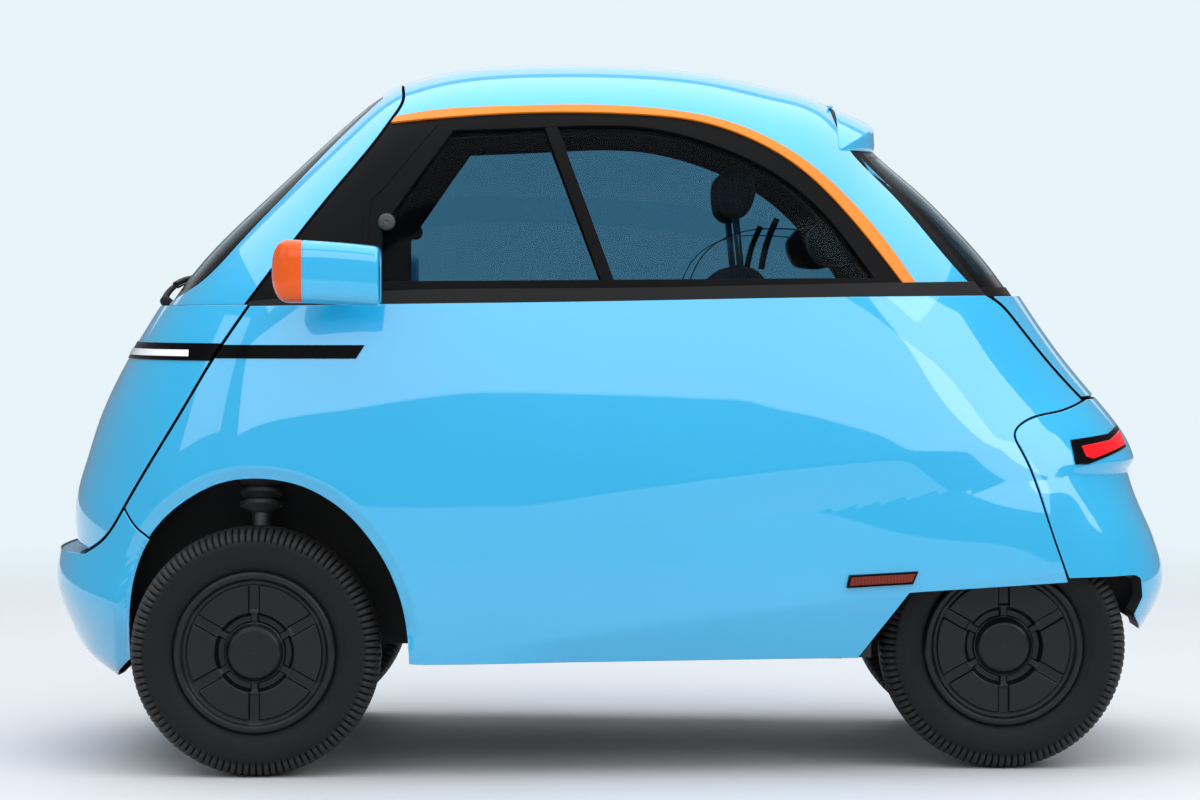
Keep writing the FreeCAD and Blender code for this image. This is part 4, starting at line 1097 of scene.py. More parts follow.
def torus(grid, flip=False):
    """Mesh data of a grid closed round its columns and its rows."""
    rows, cols = grid.shape[:2]
    faces = quads(np.arange(rows * cols).reshape(rows, cols), wrap_cols=True, wrap_rows=True)
    return grid.reshape(-1, 3), faces[:, ::-1] if flip else faces


def turned(profile, angle, centre_at, side):
    """Surface of revolution about a transverse axis: (radius, along) carried to each angle."""
    profile = np.asarray(profile, float)
    r, s = profile[:, 0][:, None], profile[:, 1][:, None]
    x = centre_at[0] + r * np.cos(angle)
    z = centre_at[2] + r * np.sin(angle)
    y = centre_at[1] + side * (s + 0 * angle)
    return np.stack([x, y, z], -1)


def tyre(place, side):
    """Tyre: a rounded profile carried round, with slots where a wave in the angle falls under a level and
    grooves exp(-((s - at) / 2.6)^4) across s. Columns stand at the slots' corners and slant with them."""
    x, y = AXLE[place], TRACK_HALF[place] * side
    shape = np.array([(166, -54), (172, -58), (184, -64), (198, -69), (214, -72), (228, -72.3), (240, -70),
                      (250, -65), (257, -58), (261.5, -50), (264.5, -40), (266, -24), (266.5, 0), (266, 24),
                      (264.5, 40), (261.5, 50), (257, 58), (250, 65), (240, 70), (228, 72.3), (214, 72),
                      (198, 69), (184, 64), (172, 58), (166, 54)], float)
    t = lengths(shape)
    fine = np.linspace(0, t[-1], 60)
    shape = np.stack([Track(list(zip(t, shape[:, i])))(fine) for i in (0, 1)], 1)
    r, s = shape[:, 0][:, None], shape[:, 1][:, None]
    lug = (np.arange(LUGS)[:, None] + np.array([0.30, 0.42, 0.58, 0.70])).reshape(1, -1)
    angle = (lug - 0.004 * s) * 2 * math.pi / LUGS
    tread = ramp((r - 236) / 5)
    wave = np.abs(lug % 1.0 - 0.5) * 2
    slots = (1 - ramp((wave - 0.20) / 0.16)) * ramp((np.abs(s) - 22) / 5)
    rings = sum(np.exp(-((s - at) / 2.6) ** 4) for at in (-30, -9, 9, 30))
    cut_in = np.maximum(slots, np.minimum(rings, 1))
    depth = tread * 6.0 * cut_in
    rib = 0.5 * (np.abs(r - 228) < 2.0) + 0.6 * (np.abs(r - 196) < 2.0)
    grow = r - depth + 0 * angle
    out_s = s * (1 + 0 * angle) + np.sign(s) * rib - np.sign(s) * depth * ramp((np.abs(s) - 46) / 14)
    # Share of the worn block grey per point: it falls to 0 in the slots and grooves, so their dark colour
    # is painted shade.
    shade = tread * (1 - cut_in) + 0 * angle
    grid = np.stack([x + grow * np.cos(angle), y + side * out_s, TYRE_RADIUS + grow * np.sin(angle)], -1)
    inner = shape[[-1, 0]] + np.array([[-0.7, 0], [-0.7, 0]])
    ends = angle[[-1, 0]]
    ring = np.stack([x + inner[:, :1] * np.cos(ends), y + side * inner[:, 1:] + 0 * ends,
                     TYRE_RADIUS + inner[:, :1] * np.sin(ends)], -1)
    shade = np.concatenate([shade, 0 * ends], 0)
    return torus(np.concatenate([grid, ring], 0), side < 0), shade


def spun(profile, count, at, side):
    """Closed turned shell from a closed profile of (radius, along)."""
    return torus(turned(profile, around(count), at, side), side < 0)


def cover(place, side):
    """Wheel cover: a dished disc whose height over the plane is a function of radius and angle, with six
    raised wedges between ribs, a groove round a domed centre, and a rounded rim. Columns crowd at the
    ribs, which stand every 60 degrees."""
    x, y = AXLE[place], TRACK_HALF[place] * side
    radius = np.r_[0.01, np.linspace(4, 60, 12), np.linspace(61, 66, 6), np.linspace(67, 82, 12),
                   np.linspace(84, 140, 24), np.linspace(141, 152, 12), np.linspace(154, 179, 22)]
    near, far = np.linspace(-10, 10, 24, endpoint=False), np.linspace(10, 50, 16, endpoint=False)
    angle = np.radians(np.r_[near, far] + 30 + 60 * np.arange(6)[:, None]).reshape(1, -1)
    r = radius[:, None]
    turn = (angle * 6 / (2 * math.pi) + 0.5) % 1.0
    rib_gap = r * (math.pi / 6) * (1 - np.abs(turn * 2 - 1))
    button = 66.0 - 13.0 * ramp((r - 49.0) / 15.0)
    edge = ramp((r - 64.0) / 2.0)
    height = button * (1 - edge) + (43.0 + 13.0 * (1 - ramp((rib_gap - 6.0) / 3.0))) * edge
    rise = ramp((r - 77.0) / 9.0)
    height = height * (1 - rise) + 60.0 * rise
    wedge = ramp((rib_gap - 9.5) / 3.5) * ramp((r - 80.0) / 3.5) * (1 - ramp((r - 142.0) / 3.5))
    height = height + 4.6 * wedge
    height = height - 4.4 * ramp((r - 88) / 3.0) * (1 - ramp((r - 143.5) / 3.0)) * (1 - wedge)
    rim = ramp((r - 149.0) / 12.0) * (1 - ramp((r - 165.0) / 14.0))
    height = height + 9.5 * rim - 9.0 * ramp((r - 172.0) / 7.0)
    height = height + 0 * angle
    grid = np.stack([x + r * np.cos(angle), y + side * height, TYRE_RADIUS + r * np.sin(angle)], -1)
    back = [(179, 44), (166, 40), (165, -57), (174, -59), (174, -66), (150, -62), (150, 30), (60, 34),
            (0.01, 34)]
    rear = turned(back, angle[0], (x, y, TYRE_RADIUS), side)
    return torus(np.concatenate([grid, rear], 0), side > 0)


def tube(path, radius, sides=14, closed=False):
    """Round bar along a path: a circle carried on frames turned as little as they can be."""
    p = np.asarray(path, float)
    radius = np.broadcast_to(np.asarray(radius, float), (len(p),))
    way = unit(np.gradient(p, axis=0)) if not closed else unit(np.roll(p, -1, 0) - np.roll(p, 1, 0))
    ref = np.array([0.0, 0.0, 1.0]) if abs(way[0][2]) < 0.9 else np.array([0.0, 1.0, 0.0])
    u = unit(np.cross(way, ref))
    v = np.cross(way, u)
    angle = around(sides)
    ring = u[:, None] * np.cos(angle)[None, :, None] + v[:, None] * np.sin(angle)[None, :, None]
    grid = p[:, None] + ring * radius[:, None, None]
    index = np.arange(len(p) * sides).reshape(len(p), sides)
    faces = [quads(index, wrap_cols=True, wrap_rows=closed)]
    points = grid.reshape(-1, 3)
    if not closed:
        points = np.vstack([points, p[0], p[-1]])
        a, b = len(points) - 2, len(points) - 1
        first, last = index[0], index[-1]
        faces.append(np.stack([np.full(sides, a), np.roll(first, -1), first], 1))
        faces.append(np.stack([np.full(sides, b), last, np.roll(last, -1)], 1))
    return points, faces


def closed_tube(grid, flip=False):
    """Mesh data of a grid closed round its columns, with its first and last rows capped by fans."""
    rows, cols = grid.shape[:2]
    index = np.arange(rows * cols).reshape(rows, cols)
    points = np.vstack([grid.reshape(-1, 3), grid[0].mean(0), grid[-1].mean(0)])
    a, b = rows * cols, rows * cols + 1
    first, last = index[0], index[-1]
    faces = [quads(index, wrap_cols=True),
             np.stack([np.full(cols, a), np.roll(first, -1), first], 1),
             np.stack([np.full(cols, b), last, np.roll(last, -1)], 1)]
    return points, [f[:, ::-1] for f in faces] if flip else faces


def pod(side):
    """Mirror and lamp pod: superellipse sections along the car, each half size growing from the nose as
    (1 - (1 - u / reach)^p)^(1 / p), with a recess for the mirror at the back."""
    along = np.r_[0.0, 0.002, 0.008, np.linspace(0.018, 0.2885, 22), 0.2895, 0.292, 0.2965, 0.2975,
                  np.linspace(0.31, 0.95, 24), 0.965, 0.98, 0.992, 1.0, 1.0, 0.985, 0.984]
    tall = 66.0 * (1 - np.clip(1 - along / 0.17, 0, 1) ** 2.3) ** (1 / 2.3) + 0.01
    deep = 58.0 * (1 - np.clip(1 - along / 0.34, 0, 1) ** 2.2) ** (1 / 2.2) + 0.01
    groove = 1 - 0.022 * np.exp(-((along - 0.293) / 0.0032) ** 4)
    shrink = np.ones(len(along))
    shrink[-7:] = [0.992, 0.975, 0.945, 0.90, 0.86, 0.85, 0.01]
    x = 684.0 - 224.0 * along
    middle = 1070.0 + 4.0 * (1 - along) - 7.0 * along ** 3
    turn = around(POD_SIDES)
    c, s = np.cos(turn), np.sin(turn)
    round_c = np.sign(c) * np.abs(c) ** 0.45
    round_s = np.sign(s) * np.abs(s) ** 0.45
    wide = (deep * groove * shrink)[:, None] * round_c
    high = (tall * groove * shrink)[:, None] * round_s * (1 - 0.07 * along[:, None] * (round_s > 0))
    grid = np.stack([x[:, None] + 0 * wide, side * (846.0 + wide), middle[:, None] + high], -1)
    return grid


def front_point(turn, y, inset):
    """Point of the skin at a fan angle and a distance from the centre plane, by repeated trials."""
    c, s = math.cos(math.radians(turn)), math.sin(math.radians(turn))
    reach = float(BODY(np.array(turn))) - inset
    r = reach
    for _ in range(14):
        x, z = np.array(r * c), np.array(FAN_Z + r * s)
        share = min(abs(y) / float(WIDTH(x) - LEAN(z) - inset), 0.999)
        r = reach * (1 - share ** float(ACROSS(np.array(turn)))) ** (1 / float(OUTWARD(np.array(turn))))
    return np.array([r * c, y, FAN_Z + r * s])


def smooth_path(points, count):
    """Points along a natural cubic through a few places, over their chord lengths."""
    p = np.array(points, float)
    t = lengths(p)
    u = np.linspace(0, t[-1], count)
    return np.stack([Track(list(zip(t, p[:, i])))(u) for i in range(3)], 1)


def spoiler():
    """Roof spoiler: one lip section carried along the top of the tailgate seam. Down the sides its size
    falls in step with the height above the seam's foot."""
    line = over(bent([(-515.5, 1345), (-515.5, 1600)]), LEDGE)
    half = laid(line, 60)
    path = np.vstack([half, half[-2::-1] * np.array([1, -1, 1])])
    size = np.clip((path[:, 2] - 1339.0) / 92.0, 0, 1) + 0.002
    for _ in range(3):
        size[1:-1] = (size[:-2] + 2 * size[1:-1] + size[2:]) / 4
    lip = np.array([(0, 0), (-14, -5), (-32, -12), (-52, -21), (-68, -29), (-84, -37), (-88, -42),
                    (-89, -60), (-90, -78), (-88, -90), (-80, -93), (-62, -90), (-44, -88), (-24, -76),
                    (-8, -56), (-1, -30), (0, -12)], float)
    closed = np.vstack([lip, lip[:1]])
    t = lengths(closed)
    u = np.linspace(0, t[-1], 72, endpoint=False)
    lip = np.stack([np.interp(u, t, closed[:, i]) for i in (0, 1)], 1)
    lip = (np.roll(lip, 1, 0) + 2 * lip + np.roll(lip, -1, 0)) / 4
    grid = path[:, None] + np.stack([lip[:, 0], 0 * lip[:, 0], lip[:, 1]], -1)[None] * size[:, None, None]
    return grid


def bolster(profile, y0, y1, soft=7.0, rounds=3, rows=44, cols=120):
    """Closed crowned form: a smoothed side view outline carried across from y0 to y1, its size falling at
    the ends as (1 - |t|^soft)^(1 / soft)."""
    p = np.array(profile + profile[:1], float)
    at = lengths(p)
    u = np.linspace(0, at[-1], cols, endpoint=False)
    loop = np.stack([np.interp(u, at, p[:, i]) for i in (0, 1)], 1)
    for _ in range(rounds):
        loop = (np.roll(loop, 1, 0) + 2 * loop + np.roll(loop, -1, 0)) / 4
    area = np.sum(loop[:, 0] * np.roll(loop[:, 1], -1) - np.roll(loop[:, 0], -1) * loop[:, 1])
    loop = loop if area > 0 else loop[::-1]
    t = np.sin(np.linspace(-1, 1, rows) * math.pi / 2) * 0.9999
    size = (1 - np.abs(t) ** soft) ** (1 / soft)
    mid = (loop.max(0) + loop.min(0)) / 2
    flat = mid + (loop - mid) * size[:, None, None]
    y = (y0 + y1) / 2 + t * (y1 - y0) / 2
    return np.stack([flat[..., 0], y[:, None] + 0 * flat[..., 0], flat[..., 1]], -1)


def revolve(profile, count, middle, axis):
    """Closed surface of revolution about any axis from a closed profile of (radius, along)."""
    axis = unit(np.asarray(axis, float))
    a = unit(np.cross(axis, [0.0, 1.0, 0.0]))
    b = np.cross(axis, a)
    profile = np.asarray(profile, float)
    turn = around(count)
    ring = a * np.cos(turn)[:, None] + b * np.sin(turn)[:, None]
    return torus(np.asarray(middle, float) + profile[:, None, :1] * ring + profile[:, None, 1:] * axis)


def strap(path, width, thick):
    """Webbing along a path in side view, its width across the car and its edges rounded."""
    p = smooth_path(path, 90)
    way = unit(np.gradient(p, axis=0))
    out = unit(np.stack([-way[:, 2], 0 * way[:, 0], way[:, 0]], 1))
    turn = around(12)
    c = np.sign(np.cos(turn)) * np.abs(np.cos(turn)) ** 0.4 * width / 2
    s = np.sign(np.sin(turn)) * np.abs(np.sin(turn)) ** 0.8 * thick / 2
    return p[:, None] + c[None, :, None] * np.array([0.0, 1.0, 0.0]) + s[None, :, None] * out[:, None]


def spots(mesh):
    """Places of a mesh's vertices, in metres."""
    flat = np.empty(len(mesh.vertices) * 3, np.float32)
    mesh.vertices.foreach_get("co", flat)
    return flat.reshape(-1, 3)


def soft_form(name, grid, voxel, cap, channels, finish):
    """Cushion: the form is remeshed evenly, swollen as cloth under pressure with its points moving no
    farther than a cap, then its sewn channels are pressed in."""
    points, faces = closed_tube(grid)
    obj = put(name, points, faces, None, [finish])
    remesh = obj.modifiers.new("even", "REMESH")
    remesh.mode, remesh.voxel_size, remesh.use_smooth_shade = "VOXEL", voxel / 1000, True
    mesh = bpy.data.meshes.new_from_object(obj.evaluated_get(bpy.context.evaluated_depsgraph_get()))
    obj.modifiers.clear()
    obj.data = mesh
    mesh.materials.clear()
    mesh.materials.append(finish)
    start = spots(mesh)
    count = len(start)
    moved = start.copy()
    cloth = obj.modifiers.new("swell", "CLOTH")
    cloth.settings.use_pressure = True
    cloth.settings.uniform_pressure_force = 4.0
    cloth.settings.effector_weights.gravity = 0.0
    cloth.point_cache.frame_start, cloth.point_cache.frame_end = 1, 20
    for number in range(1, 21):
        bpy.context.scene.frame_set(number)
    posed = obj.evaluated_get(bpy.context.evaluated_depsgraph_get()).data
    if len(posed.vertices) == count:
        moved = spots(posed)
    obj.modifiers.clear()
    bpy.context.scene.frame_set(1)
    step = moved - start
    size = np.linalg.norm(step, axis=1, keepdims=True)
    moved = start + step * np.minimum(1, cap / 1000 / np.maximum(size, 1e-9))
    mesh.vertices.foreach_set("co", moved.astype(np.float32).ravel())
    mesh.update()
    out = np.empty(count * 3, np.float32)
    mesh.vertex_normals.foreach_get("vector", out)
    out = out.reshape(-1, 3)
    depth = np.zeros(count)
    for axis, place, wide, deep in channels:
        depth = np.maximum(depth, deep * np.exp(-((moved[:, axis] * 1000 - place) / wide) ** 2))
    mesh.vertices.foreach_set("co", (moved - out * depth[:, None] / 1000).astype(np.float32).ravel())
    mesh.update()
    return obj


def twin(obj, name):
    """The same soft form on the other side of the car."""
    mesh = obj.data
    corners = np.empty(len(mesh.loops), np.int32)
    mesh.loops.foreach_get("vertex_index", corners)
    return put(name, spots(mesh) * [1000, -1000, 1000], corners.reshape(-1, 4)[:, ::-1], None,
               list(mesh.materials))


def lamp_patch(low, high, inset, rows, cols):
    """Grid over a side view outline given by its lower and its upper run."""
    low, high = bent(low), bent(high)
    return patch(laid(flank(low, inset), cols), laid(flank(high, inset), cols),
                 laid(flank(bent([low[0], high[0]]), inset), rows),
                 laid(flank(bent([low[-1], high[-1]]), inset), rows), inset, BODY, 30)


# Settings and operators

class MicrocarSettings(bpy.types.PropertyGroup):
    """Sizes and colours that a user would change."""

    paint: FloatVectorProperty(name="Body colour", description="Paint of the body panels",
                               subtype="COLOR", default=linear(44, 200, 255), min=0.0, max=1.0)
    accent: FloatVectorProperty(name="Accent colour", description="Roof strip",
                                subtype="COLOR", default=linear(255, 140, 0), min=0.0, max=1.0)
    floor: FloatVectorProperty(name="Floor colour", description="Colour of the studio floor",
                               subtype="COLOR", default=(0.78, 0.80, 0.83), min=0.0, max=1.0)
    backdrop: FloatVectorProperty(name="Backdrop colour", description="Pale colour behind the car",
                                  subtype="COLOR", default=(0.80, 0.90, 0.95), min=0.0, max=1.0)
    panel: FloatProperty(name="Panel depth", description="How far a body panel's edge turns in",
                         default=22.0, min=5.0, max=45.0)


def settings():
    return bpy.context.scene.microcar


class MICROCAR_OT_stage(bpy.types.Operator):
    """Floor, lights, background and camera"""

    bl_idname = "microcar.stage"
    bl_label = "Stage"

    def execute(self, context):
        scene = context.scene
        scene.view_settings.view_transform = "Standard"
        t = np.linspace(-1, 1, 41) * FLOOR_HALF
        grid = np.stack(np.meshgrid(t, t, [0.0]), -1).reshape(-1, 3)
        pale = tuple(settings().backdrop)
        kit = Kit("studio_floor")
        path = kit.add("ShaderNodeLightPath", out="Is Camera Ray")
        rays = [Wire(kit, path.socket.node.outputs[name])
                for name in ("Is Camera Ray", "Is Glossy Ray", "Is Transmission Ray")]
        seen = rays[0] + rays[1] + rays[2]
        kit.set("Base Color", kit.mix(seen, tuple(c * FLOOR_SHADE for c in settings().floor),
                                      tuple(settings().floor)))
        kit.set("Roughness", kit.between(kit.noise(4.0, 3.0), 0.6, 0.75))
        away = kit.add("ShaderNodeVectorMath", {"operation": "LENGTH"}, {0: kit.place()}, out="Value")
        glow = kit.add("ShaderNodeEmission", None, {"Color": (*pale, 1), "Strength": 1.0})
        far = kit.mask(away, 2.2, 8.0)
        both = kit.add("ShaderNodeMixShader", None, {
            0: far, 1: Wire(kit, kit.shader.outputs[0]), 2: glow})
        kit.tree.links.new(both.socket, kit.tree.nodes["Material Output"].inputs["Surface"])
        put("studio_floor", grid, quads(np.arange(41 * 41).reshape(41, 41)), None, [kit.material])
        world = bpy.data.worlds.new("studio")
        world.use_nodes = True
        scene.world = world
        tree = world.node_tree
        back = tree.nodes["Background"]
        back.inputs["Color"].default_value = (0.80, 0.88, 0.96, 1)
        back.inputs["Strength"].default_value = 0.28
        seen = tree.nodes.new("ShaderNodeBackground")
        seen.inputs["Color"].default_value = (*pale, 1)
        path = tree.nodes.new("ShaderNodeLightPath")
        pick = tree.nodes.new("ShaderNodeMixShader")
        either = tree.nodes.new("ShaderNodeMath")
        either.operation = "MAXIMUM"
        tree.links.new(path.outputs["Is Camera Ray"], either.inputs[0])
        tree.links.new(path.outputs["Is Transmission Ray"], either.inputs[1])
        tree.links.new(either.outputs[0], pick.inputs[0])
        tree.links.new(back.outputs[0], pick.inputs[1])
        tree.links.new(seen.outputs[0], pick.inputs[2])
        tree.links.new(pick.outputs[0], tree.nodes["World Output"].inputs["Surface"])
        for name, place, aim, wide, tall, glare in (
                ("top", (0.0, 0.6, 6.0), (0, 0.6, 0.6), 13.0, 12.0, 1.4),
                ("wall", (0.6, 12.0, 5.2), (0, 0, 1.2), 24.0, 5.0, 1.5),
                ("rear_side", (-7.5, 5.5, 5.2), (-0.6, 0, 0.9), 6.0, 4.0, 2.2),
                ("front_side", (7.0, 3.0, 3.2), (0.6, 0, 0.8), 3.0, 3.0, 1.1),
                ("back", (0.0, -8.0, 4.2), (0, 0, 0.9), 10.0, 4.0, 0.7)):
            lamp = bpy.data.lights.new(name, "AREA")
            lamp.shape = "RECTANGLE"
            lamp.size, lamp.size_y, lamp.energy = wide, tall, glare * math.pi * wide * tall
            obj = bpy.data.objects.new("light_" + name, lamp)
            scene.collection.objects.link(obj)
            obj.location = place
            way = np.array(aim) - np.array(place)
            obj.rotation_euler = (
                math.atan2(math.hypot(way[0], way[1]), -way[2]), 0.0,
                math.atan2(way[0], -way[1]) + math.pi)
            obj.visible_camera = False
        data = bpy.data.cameras.new("camera")
        data.lens, data.sensor_width = LENS, SENSOR
        camera = bpy.data.objects.new("camera", data)
        scene.collection.objects.link(camera)
        camera.location = CAMERA_AT
        camera.rotation_euler = (math.radians(90 - CAMERA_DIP), 0.0, math.pi)
        scene.camera = camera
        return {"FINISHED"}


class MICROCAR_OT_sides(bpy.types.Operator):
    """Side panels with wheel arches"""

    bl_idname = "microcar.sides"
    bl_label = "Side panels"

    def execute(self, context):
        part = slab(side_panel(), 0, settings().panel, height=side_height)
        looks = [look("blue_paint"), look("black_trim")]
        piece("side_skin_left", part, "chassis", looks, ["side_panel_left"])
        piece("side_skin_right", mirrored(part), "chassis", looks, ["side_panel_right"])
        return {"FINISHED"}


class MICROCAR_OT_front(bpy.types.Operator):
    """Front door, windshield, light bar and bumper"""

    bl_idname = "microcar.front"
    bl_label = "Front"

    def execute(self, context):
        blue = [look("blue_paint"), look("black_trim")]
        piece("door_skin", [slab(door_skin(), 0, 40.0), slab(door_surround(), LEDGE, 26.0, 1.2, ring=True)],
              "door", blue, ["front_door"])
        pane = [look("dark_glass"), look("dark_glass"), look("gloss_black")]
        piece("windshield_pane", bordered(slab(windshield(), LEDGE + 3, 5.0, 0.5), 44, 80, 3), "door",
              pane, ["windshield"])
        piece("light_bar_cover", slab(light_bar(), -2.5, 16.0, 1.0), "door",
              [look("gloss_black"), look("gloss_black")], ["light_bar"])
        shelf = bumper_shelf()
        up = np.broadcast_to(np.array([0.0, 0.0, 1.0]), shelf.shape)
        piece("bumper_shelf", shell(shelf, up, 4.0, 0.6), "chassis", blue)
        piece("front_bumper_skin", slab(front_bumper(), 0, 5.0, body=NOSE, height=arch_edge), "chassis",
              blue, ["front_bumper"])
        return {"FINISHED"}


class MICROCAR_OT_cabin_shell(bpy.types.Operator):
    """Roof, window frames, panes, strips and belt trims"""

    bl_idname = "microcar.cabin_shell"
    bl_label = "Glasshouse"

    def execute(self, context):
        blue = [look("blue_paint"), look("black_trim")]
        piece("roof_skin", slab(roof(), LEDGE, 22.0), "chassis", blue, ["roof_panel"])
        for name, part, slot, node in (
                ("belt_strip", slab(belt_trim(), 2.0, 20.0, 0.8), "black_trim", "belt_trims"),
                ("roof_line", slab(roof_strip(), LEDGE - 4, 12.0, 1.2), "orange_paint", "roof_strips"),
                ("window_pane", slab(window_pane(), LEDGE + 6, 5.0, 0.5), "clear_glass", "side_windows"),
                ("side_inlay", slab(side_insert(), -2.0, 12.0, 0.8), "gloss_black", "side_inserts")):
            finish = look(slot)
            piece(name, [part, mirrored(part)], "chassis", [finish, finish], [node])
        frames = [slab(window_ring(), LEDGE, 24.0, 1.0, ring=True), slab(divider(), LEDGE + 0.5, 18.0, 0.8)]
        piece("window_surround", frames + [mirrored(f) for f in frames], "chassis",
              [look("frame_black")] * 2, ["window_frames"])
        return {"FINISHED"}


class MICROCAR_OT_rear(bpy.types.Operator):
    """Tailgate, rear window and rear bumper"""

    bl_idname = "microcar.rear"
    bl_label = "Rear"

    def execute(self, context):
        blue = [look("blue_paint"), look("black_trim")]
        piece("gate_skin", slab(gate_skin(), 0, 36.0), "gate", blue, ["tailgate"])
        piece("gate_frame", slab(gate_surround(), LEDGE, 24.0, 1.2, ring=True), "gate",
              [look("frame_black")] * 2)
        pane = [look("dark_glass"), look("dark_glass"), look("gloss_black")]
        piece("rear_pane", bordered(slab(rear_window(), LEDGE + 3, 5.0, 0.5), 40, 80, 3), "gate",
              pane, ["rear_window"])
        piece("rear_bumper_skin", slab(rear_bumper(), 0, 26.0, height=rear_height), "chassis",
              blue, ["rear_bumper"])
        return {"FINISHED"}


class MICROCAR_OT_lamps(bpy.types.Operator):
    """Rear lamps, side reflectors and the running light in the bar"""

    bl_idname = "microcar.lamps"
    bl_label = "Lamps"

    def execute(self, context):
        housing, lens, frame_part, marker = (
            slab(lamp_patch(low, high, inset, rows, cols), inset, thick, edge)
            for low, high, inset, rows, cols, thick, edge in (
                ([(-1022, 665), (-1049, 664), (-1149, 694)], [(-1012, 712), (-1103, 722), (-1136, 738)],
                 -2.5, 10, 40, 20.0, 2.0),
                ([(-1044, 679), (-1060, 674), (-1146, 700)], [(-1036, 699), (-1104, 709), (-1139, 727)],
                 -4.5, 8, 40, 10.0, 1.5),
                ([REFLECTOR[3], REFLECTOR[2]], REFLECTOR[:2], -1.5, 6, 24, 10.0, 1.5),
                ([(-526, 408), (-658, 415)], [(-529, 424), (-665, 431)], -2.5, 6, 24, 8.0, 1.0)))
        both = [housing, mirrored(housing), frame_part, mirrored(frame_part)]
        piece("lamp_housing", both, "chassis", [look("gloss_black")] * 2)
        piece("lamp_lens", [lens, mirrored(lens)], "chassis", [look("red_lens")] * 2,
              ["rear_lamps"])
        piece("side_marker", [marker, mirrored(marker)], "chassis", [look("marker")] * 2)
        side = run([(884, 850), (884, 960)])
        strip = band(level_line(894.5), level_line(907), side, [(884, 900)] * 2, -3.6, 70, 4)
        piece("running_light", slab(strip, -3.6, 6.0, 0.8), "door", [look("white_lens")] * 2)
        return {"FINISHED"}


class MICROCAR_OT_pods(bpy.types.Operator):
    """Mirror pods with their lamp fronts, mirrors and arms"""

    bl_idname = "microcar.pods"
    bl_label = "Pods"

    def execute(self, context):
        for word, side in (("left", 1), ("right", -1)):
            grid = pod(side)
            points, faces = closed_tube(grid, flip=side > 0)
            kinds = np.zeros(sum(len(f) for f in faces), int)
            middle = points[faces[0]].mean(1)[:, 0]
            kinds[:len(faces[0])] = np.where(middle > 619.0, 1, 0)
            kinds[len(faces[0]):len(faces[0]) + len(faces[1])] = 1
            rows = len(grid) - 1
            kinds[(rows - 1) * POD_SIDES:rows * POD_SIDES] = 2
            kinds[len(faces[0]) + len(faces[1]):] = 2
            looks = [look("blue_paint"), look("orange_lens"), look("mirror_glass")]
            mounted(put("pod_" + word, points, faces, None, looks, kinds), "chassis",
                    ["mirror_pods"] if side > 0 else ())
            root = float(half_at(np.array(560.0), np.array(1046.0), LEDGE))
            arm = smooth_path([(560, side * (root - 4), 1042), (562, side * (root + 50), 1042),
                               (566, side * 800, 1052), (570, side * 822, 1060)], 24)
            plain("pod_arm_" + word, tube(arm, np.linspace(1, 0.8, 24) * 15.0, 20), "chassis",
                  look("black_trim"))
        return {"FINISHED"}


class MICROCAR_OT_trim(bpy.types.Operator):
    """Spoiler, wiper, window latches and the bar of the front quarter pane"""

    bl_idname = "microcar.trim"
    bl_label = "Trim"

    def execute(self, context):
        plain("roof_spoiler", closed_tube(spoiler()), "gate", look("blue_paint"))
        blade = smooth_path([front_point(46.2, -330, LEDGE - 16), front_point(45.6, -120, LEDGE - 18),
                             front_point(45.2, 80, LEDGE - 18), front_point(45.0, 250, LEDGE - 16)], 60)
        rubber = smooth_path([front_point(46.2, -335, LEDGE - 6), front_point(45.6, -120, LEDGE - 6),
                              front_point(45.2, 80, LEDGE - 6), front_point(45.0, 255, LEDGE - 6)], 60)
        pivot = front_point(42.4, 0, -17.0)
        arm = smooth_path([pivot, front_point(43.2, -40, -22), front_point(44.6, -95, -16),
                           front_point(45.6, -120, -6)], 30)
        cap = smooth_path([front_point(42.4, 0, 0.0), front_point(42.4, 0, -24.0)], 10)
        parts = [tube(blade, 4.5), tube(rubber, 3.0, 8), tube(arm, np.linspace(8, 4.5, 30)),
                 tube(cap, 13.0 * (1 - np.linspace(0, 1, 10) ** 5 * 0.5), 24)]
        for i, mesh in enumerate(parts):
            plain("wiper_%d" % i, mesh, "door", look("black_trim"), ["wiper"][i:])
        bar = slab(flank_patch(bent([(540, 1100), (440, 1100)]), bent([(420, 1392), (300, 1392)]),
                               bent([(362, 1395), (472, 1261), (504, 1229), (511, 1090)]),
                               bent([(350, 1395), (461, 1257), (493, 1225), (500, 1090)]),
                               [(511, 1100), (500, 1100), (355, 1392), (365, 1392)], LEDGE - 1.2, 50, 3),
                   LEDGE - 1.2, 8.0, 1.0)
        piece("quarter_bar", [bar, mirrored(bar)], "chassis", [look("frame_black")] * 2)
        dome = [(0.01, 12.0), (7, 11.6), (13, 10.4), (16.5, 8.4), (18.2, 5.6), (18.5, 2.5), (18.5, -4.0),
                (0.01, -4.0)]
        y = float(half_at(np.array(457.0), np.array(1179.0), LEDGE))
        for word, side in (("left", 1), ("right", -1)):
            plain("latch_" + word, spun(dome, 48, (457.0, side * y, 1179.0), side), "chassis",
                  look("grey_plastic"))
        return {"FINISHED"}


